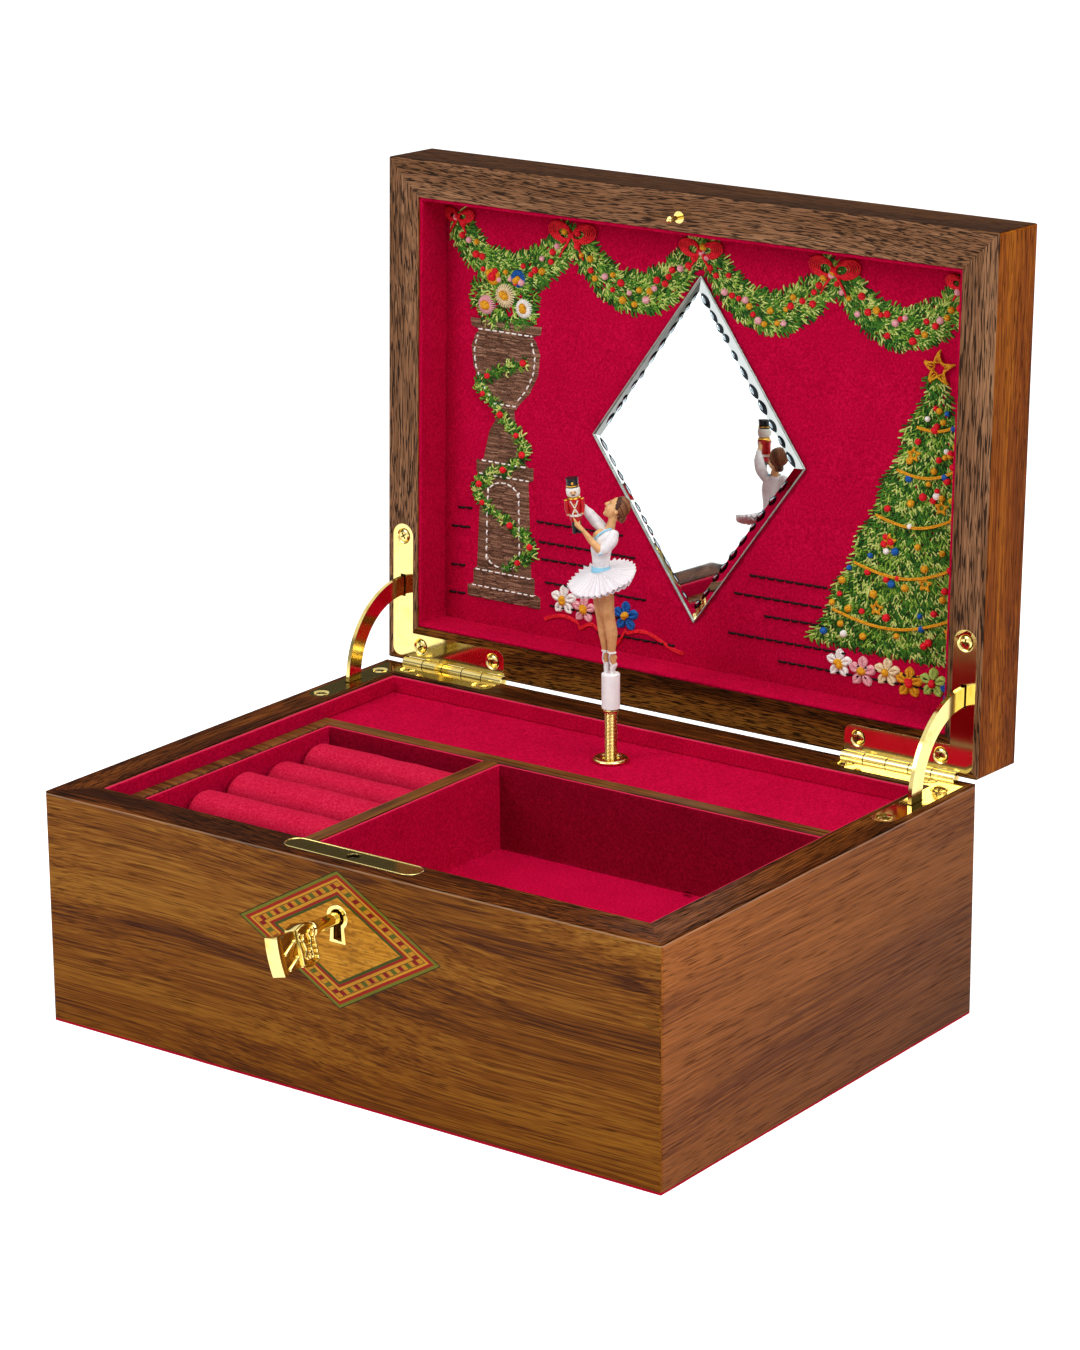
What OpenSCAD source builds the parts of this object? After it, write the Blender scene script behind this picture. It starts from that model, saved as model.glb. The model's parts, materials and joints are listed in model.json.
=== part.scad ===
// Ballerina jewellery box with a musical movement, lid standing open at its stays.
// Millimetres. X runs along the front, Y to the rear, Z up.
// The origin is the centre of the underside. Lid pieces are drawn closed and then swung open.

/* [Case] */
// Outside width of the box
case_w = 240; // [236:1:250]
// Outside depth of the box, front to back
case_d = 177; // [175:1:185]
// Height of the lower case, felt included
case_h = 78.7; // [76:0.1:84]
// Thickness of the wooden walls and lid rails
wall_t = 12.8; // [12.4:0.1:13.6]
// Rounding of the upright corners
corner_r = 1.2; // [0.6:0.1:2]
// Rounding of the long outer edges
edge_r = 0.7; // [0.3:0.1:1.2]
// Thickness of the felt under the box
felt_t = 1; // [0.6:0.1:1.6]
// How far the felt stays inside the case outline
felt_inset = 0.3; // [0.1:0.1:1]
// Thickness of the plywood base board
base_board_t = 4; // [3:0.5:6]
// Thickness of the suede covered lining card
lining_t = 1.3; // [0.9:0.1:1.6]
// How far the lining ends below the rim
lining_drop = 0.5; // [0.3:0.1:1]

/* [Lid] */
// Height of the lid rails
lid_h = 23.6; // [22.6:0.1:28]
// Depth from the lid rim to the embroidered panel
lid_recess = 14.8; // [13:0.1:16]
// Gap between lid and case when the lid is shut
lid_gap = 0.4; // [0.3:0.05:0.8]
// Angle at which the stays stop the open lid, in degrees
lid_open = 91.7; // [85:0.1:100]
// Thickness of the embroidered panel
embroidery_t = 2.2; // [1.6:0.1:3]
// Width of the mirror across its long way left to right
mirror_w = 85; // [60:1:110]
// Height of the mirror from tip to tip
mirror_h = 118; // [90:1:134]
// Thickness of the mirror
mirror_t = 2; // [1.5:0.1:3]
// Width of the ground bevel round the mirror
mirror_bevel = 3.6; // [2:0.1:6]

/* [Compartments] */
// Thickness of the dividers and of the strips round the compartments
divider_t = 5.2; // [4:0.1:6]
// How far the tops of the strips lie below the rim
strip_drop = 5.5; // [5:0.1:6.5]
// How far the platform lies below the rim
platform_drop = 6.2; // [6:0.1:8]
// Depth of the platform at the rear, front to back
platform_d = 37.6; // [36.5:0.1:39]
// Clear width of the ring compartment
ring_bay_w = 67; // [60:1:80]
// How far the floor of the deep compartment lies below the rim
deep_drop = 35.5; // [32:0.5:38]
// How far the floor of the ring compartment lies below the rim
ring_drop = 27.9; // [26:0.1:29]
// Number of ring rolls
roll_count = 5; // [4:1:5]
// Height of a ring roll above its floor
roll_h = 18.8; // [16:0.1:19]
// Gap on each side of a ring roll
roll_gap = 0.3; // [0.25:0.05:0.6]
// Thickness of the suede on the floors
cloth_t = 1; // [0.6:0.1:1.2]
// Thickness of the boards under the compartments
board_t = 3; // [2:0.5:4]

/* [Hinges and stays] */
// Width of each arm of a hinge plate
plate_w = 8.6; // [8:0.1:9]
// Thickness of the hinge plates
plate_t = 1.6; // [1.4:0.1:2]
// Reach of a hinge plate along the side rail
plate_side = 47.4; // [45:0.1:55]
// Reach of a hinge plate along the rear rail
plate_rear = 48.3; // [46:0.1:60]
// Distance from the case side to the hinge plate
plate_inset = 2.3; // [1.8:0.1:2.6]
// Radius of a hinge knuckle
knuckle_r = 1.9; // [1.8:0.05:2]
// Radius of the hinge pin
pin_r = 0.9; // [0.8:0.05:1]
// Running clearance between the pin and its knuckles
pin_gap = 0.05; // [0.03:0.01:0.08]
// Outer radius of the curved stays about the hinge line
stay_r = 30.8; // [30:0.1:32]
// Radial width of the curved stays
stay_w = 6.5; // [5:0.1:7]
// Thickness of the curved stays
stay_t = 1.4; // [1.2:0.1:1.6]
// Share of the lid's swing that a stay makes
stay_share = 0.65; // [0.63:0.01:0.67]

/* [Lock] */
// How far the key's axis lies below the rim
key_drop = 17.3; // [16:0.1:19]
// Length of the lock plate let into the rim
lock_plate_w = 52; // [48:1:58]
// Width of the lock plate
lock_plate_d = 8.3; // [8:0.1:8.6]
// Distance from the front face to the centre of the lock plate
lock_inset = 8.2; // [8:0.1:8.3]
// Thickness of the lock plate
lock_plate_t = 1.2; // [1:0.1:1.5]
// Travel of the lock bolt
bolt_travel = 4; // [3:0.1:5]
// Radius of the key's stem
key_stem_r = 2.1; // [1.8:0.1:2.2]
// Length of the key outside the front face, up to its bow
key_reach = 12.5; // [10:0.5:16]
// Length of the key's bow along the stem
bow_l = 19; // [16:0.5:22]
// Height of the key's bow
bow_h = 12.4; // [12:0.2:15]
// Thickness of the key's bow
bow_t = 5; // [4:0.1:5.6]

/* [Inlay] */
// Width of the diamond inlay, tip to tip
inlay_w = 79.2; // [70:0.2:90]
// Height of the diamond inlay, tip to tip
inlay_h = 45.3; // [42:0.1:46]
// How far the diamond's middle lies below the rim
inlay_drop = 24.7; // [23.6:0.1:27]
// Share of the diamond that the plain middle field takes
field_share = 0.594; // [0.56:0.002:0.64]
// Thickness of the inlay veneer
inlay_t = 0.6; // [0.4:0.1:0.8]

/* [Dancer] */
// Distance from the rear face of the case to the dancer's axis
dancer_inset = 33; // [32.5:0.1:33.5]
// Radius of the brass spring
spring_r = 2.3; // [2.2:0.05:2.4]
// Height of the dancer's stand above the platform
stand_z = 18.3; // [18:0.1:20]
// Height of the dancer's stand
stand_h = 12.1; // [11:0.1:13]
// Radius of the dancer's stand
stand_r = 3.05; // [2.9:0.05:3.2]
// Direction that the dancer faces, in degrees from +X
dancer_turn = 216; // [0:1:359]
// Radius of the tutu
tutu_r = 11.6; // [10:0.1:12]
// Outer radius of the brass eyelet in the platform
eyelet_r = 6.2; // [5.6:0.1:6.6]

/* [Movement] */
// Height of the board that carries the movement
movement_z = 24; // [23:0.5:26]
// Distance from the rear face of the case to the barrel's axis
barrel_inset = 27; // [26.8:0.1:27.2]
// Module of the great wheel and the spindle pinion
wheel_m = 0.75; // [0.74:0.01:0.76]
// Teeth of the great wheel
wheel_n = 32; // [32:1:32]
// Teeth of the spindle pinion
spindle_n = 11; // [11:1:11]
// Teeth of the cylinder pinion
pinion_n = 10; // [10:1:10]
// Mean radius of the crown teeth on the great wheel
crown_r = 10; // [9.9:0.1:10.1]
// Radius of the music cylinder
cylinder_r = 6.5; // [6.3:0.1:6.6]
// Length of the music cylinder
cylinder_l = 26; // [24:1:28]
// Number of tunes pins round each track of the cylinder
tune_pins = 5; // [3:1:7]
// Number of teeth on the comb
comb_n = 18; // [18:1:18]

/* [Hidden] */
$fn = 64;

// Case
half_w = case_w / 2;
half_d = case_d / 2;
in_x = half_w - wall_t;
in_y = half_d - wall_t;
room_x = in_x - lining_t;
room_y = in_y - lining_t;
floor_z = felt_t + base_board_t;
cut = 1;

// Lid, as if shut
lid_z = case_h + lid_gap;
hinge_y = half_d + 0.5;
hinge_z = case_h + lid_gap / 2;
panel_z = lid_z + lid_recess;
lid_top_z = lid_z + lid_h;

// Compartments
strip_z = case_h - strip_drop;
platform_z = case_h - platform_drop;
divider_y = room_y - platform_d;
bay_y1 = divider_y - divider_t;
bay_y0 = -room_y + divider_t;
ring_x0 = -room_x + divider_t;
ring_x1 = ring_x0 + ring_bay_w;
deep_x0 = ring_x1 + divider_t;
deep_x1 = room_x - divider_t;
deep_z = case_h - deep_drop;
ring_z = case_h - ring_drop;
bay_base = deep_z - cloth_t;
card_top = strip_z - lining_drop;
card_t = 1;
roll_pitch = (bay_y1 - bay_y0 - 2 * card_t) / roll_count;
batten = 8;

// Hinges and stays
plate_x1 = half_w - plate_inset;
plate_x0 = plate_x1 - plate_rear;
plate_y1 = hinge_y - 2.1;
plate_y0 = plate_y1 - plate_side;
plate_corner = 3;
knuckles = 5;
knuckle_l = 8.6;
knuckle_x0 = plate_x0 - 0.2;
knuckle_gap = 0.3;
knuckle_side_gap = 0.1;
slot_gap = 0.4;
slot_reach = 0.7;
stay_x = plate_x1 - plate_w / 2;
stop_gap = 5;
stop_a = 3.6;
stop_t = 3;
pocket_gap = 0.8;
pocket_w = stop_t + 0.6;
screw_head_r = 2.5;
screw_head_h = 1.5;
screw_r = 1.2;
screw_l = 9;
screw_gap = 0.05;
screw_inset = plate_w / 2;
corner_screw = 12;

// Lock and inlay
key_z = case_h - key_drop;
inlay_z = case_h - inlay_drop;
lock_y = -half_d + lock_inset;
lock_hole_r = 2.3;
case_wall = 1;
lock_case_w = 42;
lock_case_d = 8;
lock_case_top = case_h - lock_plate_t;
lock_case_h = 27;
mortise_gap = 0.1;
bolt_t = 1;
bolt_w = 5;
bolt_gap = 0.3;
bolt_z = lock_case_top - case_wall - bolt_gap - bolt_t;
tail_w = 8;
tail_t = 1.6;
tail_gap = 0.3;
stud_r = 0.8;
ball_r = 1.2;
neck_gap = 0.25;
ball_gap = 0.15;
stud_tip_z = bolt_z - ball_gap - ball_r;
hole_r = key_stem_r + 0.5;
key_slot_w = 2.6;
key_slot_h = 7.4;
escutcheon_rim = 1.5;
escutcheon_t = 1.2;
escutcheon_proud = 0.5;
bow_drop = 3.4;
bow_tilt = -14;
bit_h = 3.2;
bit_l = 3.4;
bit_t = 1.6;
key_tip_y = lock_y + 1.2;
bow_y = -half_d - key_reach;

// Dancer
dancer_y = half_d - dancer_inset;
spring_z = platform_z - 1.5;
spring_top = platform_z + stand_z;
spring_bore = 1.5;
coil_pitch = 0.74;
post_r = 1.3;
post_gap = 0.06;
spindle_r = 1.5;
spindle_top_r = 3;
spindle_top_h = 6;
shaft_gap = 0.05;
eyelet_bore = 4;
eyelet_t = 1.6;
toe_z = spring_top + stand_h;

// Movement
bedplate_t = 1.6;
bed_z = movement_z + bedplate_t;
board_thick = 5;
barrel_y = half_d - barrel_inset;
wheel_gap = 0.05;
wheel_r = wheel_m * wheel_n / 2;
spindle_pitch_r = wheel_m * spindle_n / 2;
train_d = wheel_r + spindle_pitch_r + wheel_gap;
barrel_x = -sqrt(train_d * train_d - (barrel_y - dancer_y) * (barrel_y - dancer_y));
train_a = atan2(dancer_y - barrel_y, -barrel_x);
barrel_r = 11;
barrel_h = 13;
barrel_gap = 1.4;
barrel_z = bed_z + barrel_gap;
wheel_z = barrel_z + barrel_h;
wheel_t = 1.4;
crown_h = 1;
crown_w = 1.6;
crown_m = 2 * crown_r / wheel_n;
pinion_r = crown_m * pinion_n / 2;
cylinder_z = wheel_z + wheel_t + crown_h * 0.55 + pinion_r;
arbor_r = 1;
bearing_x1 = barrel_x - wheel_r - 1.2;
bearing_t = 1.5;
cylinder_x1 = bearing_x1 - bearing_t - 1;
cylinder_x0 = cylinder_x1 - cylinder_l;
flange_n = 36;
fan_n = 9;
flange_m = 0.4;
flange_t = 1.2;
flange_x = cylinder_x0 - flange_t - 0.3;
bearing_x0 = flange_x - bearing_t - 0.8;
fan_d = flange_m * (flange_n + fan_n) / 2 + wheel_gap;
fan_z = cylinder_z - fan_d;
fan_r = 5.4;
fan_l = 5;
fan_x = bearing_x0 - 0.8 - fan_l;
fan_plate_x = fan_x - 0.8 - bearing_t;
pin_h = 0.5;
pluck_gap = 0.15;
comb_t = 1.2;
comb_y1 = barrel_y - cylinder_r - pin_h - pluck_gap;
comb_y0 = divider_y + 2.4;
comb_seat = 6;
bed_x0 = fan_plate_x - 4;
bed_x1 = 14;
bed_y0 = divider_y + 1.4;
bed_y1 = in_y - 0.8;
winding_arbor_r = 1.5;
winding_hub_r = 3;
key_wing_r = 11.6;
wing_r = 4.6;
wing_t = 1.6;
wing_rise = 2;
wing_web = 6.2;
bearing_half = 4;
bearing_rim = 2;
well_w = 44;
well_y0 = divider_y + 1;
well_y1 = in_y - 0.6;

module box(x0, x1, y0, y1, z0, z1) {
  translate([x0, y0, z0]) cube([x1 - x0, y1 - y0, z1 - z0]);
}

module along_x(x, y, z) {
  translate([x, y, z]) rotate([0, 90, 0]) children();
}

// A profile drawn in Y and Z, given a length along X.
module yz_prism(x0, x1) {
  translate([x0, 0, 0]) rotate([90, 0, 90]) linear_extrude(x1 - x0) children();
}

module both_sides() {
  children();
  mirror([1, 0, 0]) children();
}

module swing_open() {
  translate([0, hinge_y, hinge_z])
    rotate([-lid_open, 0, 0])
      translate([0, -hinge_y, -hinge_z]) children();
}

// Mirrors what is drawn for the case rim onto the lid rim.
module as_lid() {
  translate([0, 0, 2 * hinge_z]) mirror([0, 0, 1]) children();
}

// ---- Wooden boards with mitred ends ----

module round_off(r) {
  difference() {
    translate([-cut, -r]) square([r + cut, r + cut]);
    translate([r, -r]) circle(r);
  }
}

// side 0 is the front, 1 the right, 2 the rear and 3 the left.
module mitred_board(side, z0, z1, top_r, bottom_r) {
  len = side % 2 == 0 ? case_w : case_d;
  deep = side % 2 == 0 ? case_d : case_w;
  rotate([0, 0, 90 * side]) difference() {
    translate([0, 0, z0]) linear_extrude(z1 - z0) polygon([
      [-len / 2, -deep / 2], [len / 2, -deep / 2],
      [len / 2 - wall_t, -deep / 2 + wall_t], [-len / 2 + wall_t, -deep / 2 + wall_t]
    ]);
    for (e = [0, 1]) mirror([e, 0, 0])
      translate([-len / 2, -deep / 2, z0 - cut]) rotate([0, 0, 90])
        linear_extrude(z1 - z0 + 2 * cut) round_off(corner_r);
    if (top_r > 0)
      translate([-len / 2 - cut, -deep / 2, z1]) rotate([90, 0, 90])
        linear_extrude(len + 2 * cut) round_off(top_r);
    if (bottom_r > 0)
      translate([-len / 2 - cut, -deep / 2, z0]) mirror([0, 0, 1]) rotate([90, 0, 90])
        linear_extrude(len + 2 * cut) round_off(bottom_r);
  }
}

// ---- Hinge plates, knuckles and stays ----

module plate_outline() {
  difference() {
    union() {
      translate([plate_x0, plate_y1 - plate_w]) square([plate_rear, plate_w]);
      translate([plate_x1 - plate_w, plate_y0 + plate_w / 2])
        square([plate_w, plate_side - plate_w / 2]);
      translate([stay_x, plate_y0 + plate_w / 2]) circle(plate_w / 2);
    }
    translate([plate_x1, plate_y1]) mirror([1, 0]) round_off(plate_corner);
    translate([plate_x0, plate_y1]) round_off(plate_corner);
    translate([plate_x0, plate_y1 - plate_w]) mirror([0, 1]) round_off(plate_corner);
  }
}

// The strip of plate that runs on to the knuckles.
module plate_web(z0, z1) {
  box(knuckle_x0, knuckle_x0 + knuckles * knuckle_l, plate_y1 - cut, hinge_y, z0, z1);
}

module knuckle_clearance(x0, x1) {
  along_x(x0, hinge_y, hinge_z) cylinder(h = x1 - x0, r = knuckle_r + knuckle_gap);
}

module stay_slot() {
  x0 = stay_x - stay_t / 2 - slot_gap;
  y0 = hinge_y - stay_r - slot_reach;
  translate([x0, y0, case_h - plate_t - cut])
    cube([stay_t + 2 * slot_gap, stay_w + 2 * slot_reach, plate_t + 2 * cut]);
}

// Screw places on a plate: end of the side arm, both ends of the rear arm, corner.
screw_spots = [
  [stay_x, plate_y0 + screw_inset],
  [plate_x0 + screw_inset + 0.7, plate_y1 - screw_inset],
  [plate_x1 - corner_screw, plate_y1 - screw_inset],
  [stay_x, plate_y1 - corner_screw + 1.4]
];

module screw_shape(gap) {
  translate([0, 0, -screw_head_h]) cylinder(h = screw_head_h, r1 = screw_r + gap, r2 = screw_head_r + gap);
  translate([0, 0, -screw_l]) cylinder(h = screw_l - screw_head_h + 0.01, r = screw_r + gap);
}

module wood_screw() {
  difference() {
    screw_shape(0);
    for (a = [45, 135]) rotate([0, 0, a]) translate([-1.5, -0.25, -0.8]) cube([3, 0.5, 2]);
  }
}

module screw_holes(count) {
  for (i = [0:count - 1])
    translate([screw_spots[i].x, screw_spots[i].y, case_h]) screw_shape(screw_gap);
}

// first is 0 where the outer knuckles belong to the plate and 1 where the inner ones do.
module hinge_plate(first, screws) {
  difference() {
    union() {
      translate([0, 0, case_h - plate_t]) linear_extrude(plate_t) plate_outline();
      plate_web(case_h - plate_t, case_h);
      for (i = [first:2:knuckles - 1])
        along_x(knuckle_x0 + i * knuckle_l + knuckle_side_gap, hinge_y, hinge_z)
          cylinder(h = knuckle_l - 2 * knuckle_side_gap, r = knuckle_r);
    }
    for (i = [1 - first:2:knuckles - 1])
      knuckle_clearance(
        knuckle_x0 + i * knuckle_l - knuckle_side_gap,
        knuckle_x0 + (i + 1) * knuckle_l + knuckle_side_gap
      );
    along_x(knuckle_x0 - cut, hinge_y, hinge_z)
      cylinder(h = knuckles * knuckle_l + 2 * cut, r = pin_r + pin_gap);
    stay_slot();
    screw_holes(screws);
  }
}

// What is cut from the wood for one hinge plate, its knuckles and its screws.
module plate_mortise(screws) {
  translate([0, 0, case_h - plate_t]) linear_extrude(plate_t + cut) plate_outline();
  plate_web(case_h - plate_t, case_h + cut);
  knuckle_clearance(knuckle_x0 - knuckle_gap, knuckle_x0 + knuckles * knuckle_l + knuckle_gap);
  screw_holes(screws);
}

// A ring sector in the YZ plane about the hinge line. Angles run from the front upwards.
module sector(r0, r1, a0, a1) {
  far = 2 * r1;
  mid = (a0 + a1) / 2;
  translate([hinge_y, hinge_z]) intersection() {
    difference() {
      circle(r1);
      circle(r0);
    }
    polygon([
      [0, 0], [-far * cos(a0), far * sin(a0)],
      [-far * cos(mid), far * sin(mid)], [-far * cos(a1), far * sin(a1)]
    ]);
  }
}

module stay_pocket(a0, a1) {
  yz_prism(stay_x - pocket_w / 2, stay_x + pocket_w / 2)
    sector(stay_r - stay_w - pocket_gap, stay_r + pocket_gap, a0, a1);
}

module curved_stay() {
  a0 = -stop_gap - stop_a;
  a1 = lid_open + stop_gap + stop_a;
  yz_prism(stay_x - stay_t / 2, stay_x + stay_t / 2) sector(stay_r - stay_w, stay_r, a0, a1);
  for (a = [a0, a1 - stop_a])
    yz_prism(stay_x - stop_t / 2, stay_x + stop_t / 2)
      sector(stay_r - stay_w, stay_r, a, a + stop_a);
}

case_pocket_a = stop_gap + stop_a + stay_share * lid_open + 2.5;
lid_pocket_a = stop_gap + stop_a + (1 - stay_share) * lid_open + 2.5;

module base_hinge_left() { color("gold") mirror([1, 0, 0]) hinge_plate(0, 4); }
module base_hinge_right() { color("gold") hinge_plate(0, 4); }
module lid_hinge_left() { color("gold") swing_open() as_lid() mirror([1, 0, 0]) hinge_plate(1, 3); }
module lid_hinge_right() { color("gold") swing_open() as_lid() hinge_plate(1, 3); }

module hinge_pins() {
  color("darkgoldenrod") both_sides()
    along_x(knuckle_x0, hinge_y, hinge_z) cylinder(h = knuckles * knuckle_l, r = pin_r);
}

module stay_left() { color("gold") mirror([1, 0, 0]) curved_stay(); }
module stay_right() { color("gold") curved_stay(); }

module plate_screws(count) {
  both_sides() for (i = [0:count - 1])
    translate([screw_spots[i].x, screw_spots[i].y, case_h]) wood_screw();
}

module base_hinge_screws() { color("goldenrod") plate_screws(4); }
module lid_hinge_screws() { color("goldenrod") swing_open() as_lid() plate_screws(3); }

// ---- Case ----

// A shape drawn in X and Z on the front face, cut or raised along Y.
module on_front(y0, y1, z) {
  translate([0, y1, z]) rotate([90, 0, 0]) linear_extrude(y1 - y0) children();
}

module keyhole(y0, y1, r, slot_w, slot_h, flare) {
  on_front(y0, y1, key_z) circle(r);
  on_front(y0, y1, key_z) polygon([
    [-slot_w / 2, 0], [slot_w / 2, 0],
    [slot_w / 2 + flare, -slot_h], [-slot_w / 2 - flare, -slot_h]
  ]);
}

module diamond_2d(share) {
  polygon([
    [-inlay_w / 2 * share, 0], [0, -inlay_h / 2 * share],
    [inlay_w / 2 * share, 0], [0, inlay_h / 2 * share]
  ]);
}

module keyhole_cut() {
  keyhole(-half_d - cut, lock_y, hole_r, key_slot_w, key_slot_h, 0.3);
}

module escutcheon_block(y0, y1) {
  keyhole(y0, y1, hole_r + escutcheon_rim, key_slot_w + 2, key_slot_h + 1, 0.9);
}

module lock_plate_2d() {
  translate([-lock_plate_w / 2 + lock_plate_d / 2, -lock_plate_d / 2])
    square([lock_plate_w - lock_plate_d, lock_plate_d]);
  for (s = [-1, 1]) translate([s * (lock_plate_w - lock_plate_d) / 2, 0]) circle(lock_plate_d / 2);
}

module front_panel() {
  color("saddlebrown") difference() {
    mitred_board(0, felt_t, case_h, edge_r, 0);
    on_front(-half_d - cut, -half_d + inlay_t, inlay_z) diamond_2d(1);
    escutcheon_block(-half_d - cut, -half_d + escutcheon_t - escutcheon_proud);
    keyhole_cut();
    translate([0, lock_y, case_h - lock_plate_t]) linear_extrude(lock_plate_t + cut) lock_plate_2d();
    box(
      -lock_case_w / 2 - mortise_gap, lock_case_w / 2 + mortise_gap,
      lock_y - lock_case_d / 2 - mortise_gap, in_y,
      lock_case_top - lock_case_h - mortise_gap, case_h - lock_plate_t / 2
    );
  }
}

module side_pockets() {
  both_sides() {
    stay_pocket(-case_pocket_a, 0);
    plate_mortise(4);
  }
}

module rear_panel() {
  color("saddlebrown") difference() {
    mitred_board(2, felt_t, case_h, edge_r, 0);
    side_pockets();
  }
}

module left_panel() {
  color("sienna") difference() {
    mitred_board(3, felt_t, case_h, edge_r, 0);
    side_pockets();
  }
}

module right_panel() {
  color("sienna") difference() {
    mitred_board(1, felt_t, case_h, edge_r, 0);
    side_pockets();
  }
}

module key_well(z0, z1) {
  box(barrel_x - well_w / 2, barrel_x + well_w / 2, well_y0, well_y1, z0, z1);
}

module base_board() {
  color("burlywood") difference() {
    box(-in_x, in_x, -in_y, in_y, felt_t, floor_z);
    key_well(felt_t - cut, floor_z + cut);
  }
}

module base_felt() {
  color("crimson") difference() {
    box(
      -half_w + felt_inset, half_w - felt_inset,
      -half_d + felt_inset, half_d - felt_inset, 0, felt_t
    );
    key_well(-cut, felt_t + cut);
  }
}

module inlay_banding() {
  color("peru") difference() {
    on_front(-half_d, -half_d + inlay_t, inlay_z) diamond_2d(1);
    on_front(-half_d - cut, -half_d + inlay_t + cut, inlay_z) diamond_2d(field_share);
  }
}

module inlay_field() {
  color("goldenrod") difference() {
    on_front(-half_d, -half_d + inlay_t, inlay_z) diamond_2d(field_share);
    escutcheon_block(-half_d - cut, -half_d + inlay_t + cut);
  }
}

module keyhole_escutcheon() {
  color("gold") difference() {
    escutcheon_block(-half_d - escutcheon_proud, -half_d + escutcheon_t - escutcheon_proud);
    keyhole_cut();
  }
}

// ---- Lock ----

module lock_case() {
  z0 = lock_case_top - lock_case_h;
  color("silver") difference() {
    box(
      -lock_case_w / 2, lock_case_w / 2,
      lock_y - lock_case_d / 2, lock_y + lock_case_d / 2, z0, lock_case_top
    );
    box(
      -lock_case_w / 2 + case_wall, lock_case_w / 2 - case_wall,
      lock_y - lock_case_d / 2 + case_wall, lock_y + lock_case_d / 2 - case_wall,
      z0 + case_wall, lock_case_top - case_wall
    );
    keyhole_cut();
    translate([0, lock_y, lock_case_top - 2 * case_wall]) cylinder(h = 3 * case_wall, r = lock_hole_r);
  }
}

module lock_plate() {
  color("gold") difference() {
    translate([0, lock_y, case_h - lock_plate_t]) linear_extrude(lock_plate_t) lock_plate_2d();
    translate([0, lock_y, case_h - lock_plate_t - cut]) cylinder(h = 2 * cut + lock_plate_t, r = lock_hole_r);
  }
}

// The bolt's tail hangs down to the key's bit, which pushes it along as the key turns.
module lock_bolt() {
  bolt_x0 = -12;
  bolt_x1 = 9;
  tail_x = bit_t / 2 + tail_gap - bolt_travel;
  tail_z = key_z + key_stem_r + 0.9;
  color("darkgoldenrod") difference() {
    union() {
      box(bolt_x0, bolt_x1, lock_y - bolt_w / 2, lock_y + bolt_w / 2, bolt_z, bolt_z + bolt_t);
      box(tail_x, tail_x + tail_w, lock_y - tail_t / 2, lock_y + tail_t / 2, tail_z, stud_tip_z - ball_r - 0.6);
      box(tail_x + 6, tail_x + tail_w, lock_y - tail_t / 2, lock_y + tail_t / 2, tail_z, bolt_z + 0.1);
    }
    translate([0, lock_y, bolt_z - cut]) cylinder(h = bolt_t + 2 * cut, r = lock_hole_r - 0.3);
    box(
      -bolt_travel - stud_r - neck_gap, 0,
      lock_y - stud_r - neck_gap, lock_y + stud_r + neck_gap, bolt_z - cut, bolt_z + bolt_t + cut
    );
  }
}

module lock_stud() {
  color("gold") swing_open() translate([0, lock_y, 0]) {
    translate([0, 0, stud_tip_z]) cylinder(h = lid_z + 6 - stud_tip_z, r = stud_r);
    translate([0, 0, stud_tip_z]) sphere(ball_r);
    translate([0, 0, lid_z + 0.01]) cylinder(h = 1.2, r = 2);
  }
}

// The key's bow: an end cap, a slim block with two slanting bars on both faces, and an arched head.
module key_bow() {
  cap_l = 2;
  head_y = -9.5;
  block_l = bow_l - cap_l + head_y;
  rotate([0, bow_tilt, 0]) translate([0, 0, -bow_drop]) {
    box(-bow_t / 2 + 0.5, bow_t / 2 - 0.5, -bow_l + cap_l - 0.1, head_y + 0.1, -bow_h / 2 + 0.6, bow_h / 2 - 0.6);
    box(-bow_t / 2, bow_t / 2, -bow_l, -bow_l + cap_l, -bow_h / 2, bow_h / 2);
    translate([-bow_t / 2 + 0.1, 0, 0]) rotate([90, 0, 90]) linear_extrude(bow_t - 0.2)
      polygon([
        [head_y, -bow_h / 2 + 0.3], [head_y + 2, -bow_h / 2 - 0.3], [head_y + 4, -bow_h / 2 - 0.5],
        [head_y + 6, -bow_h / 2 - 0.3], [-1.5, -bow_h / 2 + 0.2], [-1.5, bow_h / 2 - 0.2],
        [head_y + 6, bow_h / 2 + 0.4], [head_y + 4, bow_h / 2 + 0.7], [head_y + 2, bow_h / 2 + 0.4],
        [head_y, bow_h / 2 - 0.4]
      ]);
    for (s = [-1, 1], z = [-bow_h * 0.35, bow_h * 0.12])
      translate([s * (bow_t / 2 - 0.5), head_y - block_l / 2, z]) rotate([28, 0, 0])
        cube([0.8, block_l * 0.76, 0.9], center = true);
  }
}

module door_key() {
  color("gold") translate([0, 0, key_z]) {
    translate([0, key_tip_y, 0]) rotate([90, 0, 0]) cylinder(h = key_tip_y - bow_y + 3, r = key_stem_r);
    translate([0, bow_y - 0.6, 0]) rotate([90, 0, 0]) cylinder(h = 2, r = key_stem_r + 0.4);
    box(-bit_t / 2, bit_t / 2, key_tip_y - bit_l, key_tip_y, -key_stem_r - bit_h, 0);
    translate([0, bow_y, 0]) key_bow();
  }
}

// ---- Linings, dividers and compartments ----

module case_lining() {
  color("crimson") difference() {
    box(-in_x, in_x, -in_y, in_y, bay_base, case_h - lining_drop);
    box(-room_x, room_x, -room_y, room_y, bay_base - cut, case_h);
    box(-in_x - cut, in_x + cut, divider_y, in_y + cut, bay_base - cut, platform_z);
  }
}

module long_divider() {
  color("peru") box(-room_x, room_x, bay_y1, divider_y, bay_base, strip_z);
}

module cross_divider() {
  color("peru") box(ring_x1, deep_x0, bay_y0, bay_y1, bay_base, strip_z);
}

module tray_frame() {
  color("peru") difference() {
    box(-room_x, room_x, -room_y, bay_y1, bay_base, strip_z);
    box(ring_x0, deep_x1, bay_y0, bay_y1 + cut, bay_base - cut, strip_z + cut);
  }
}

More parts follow.
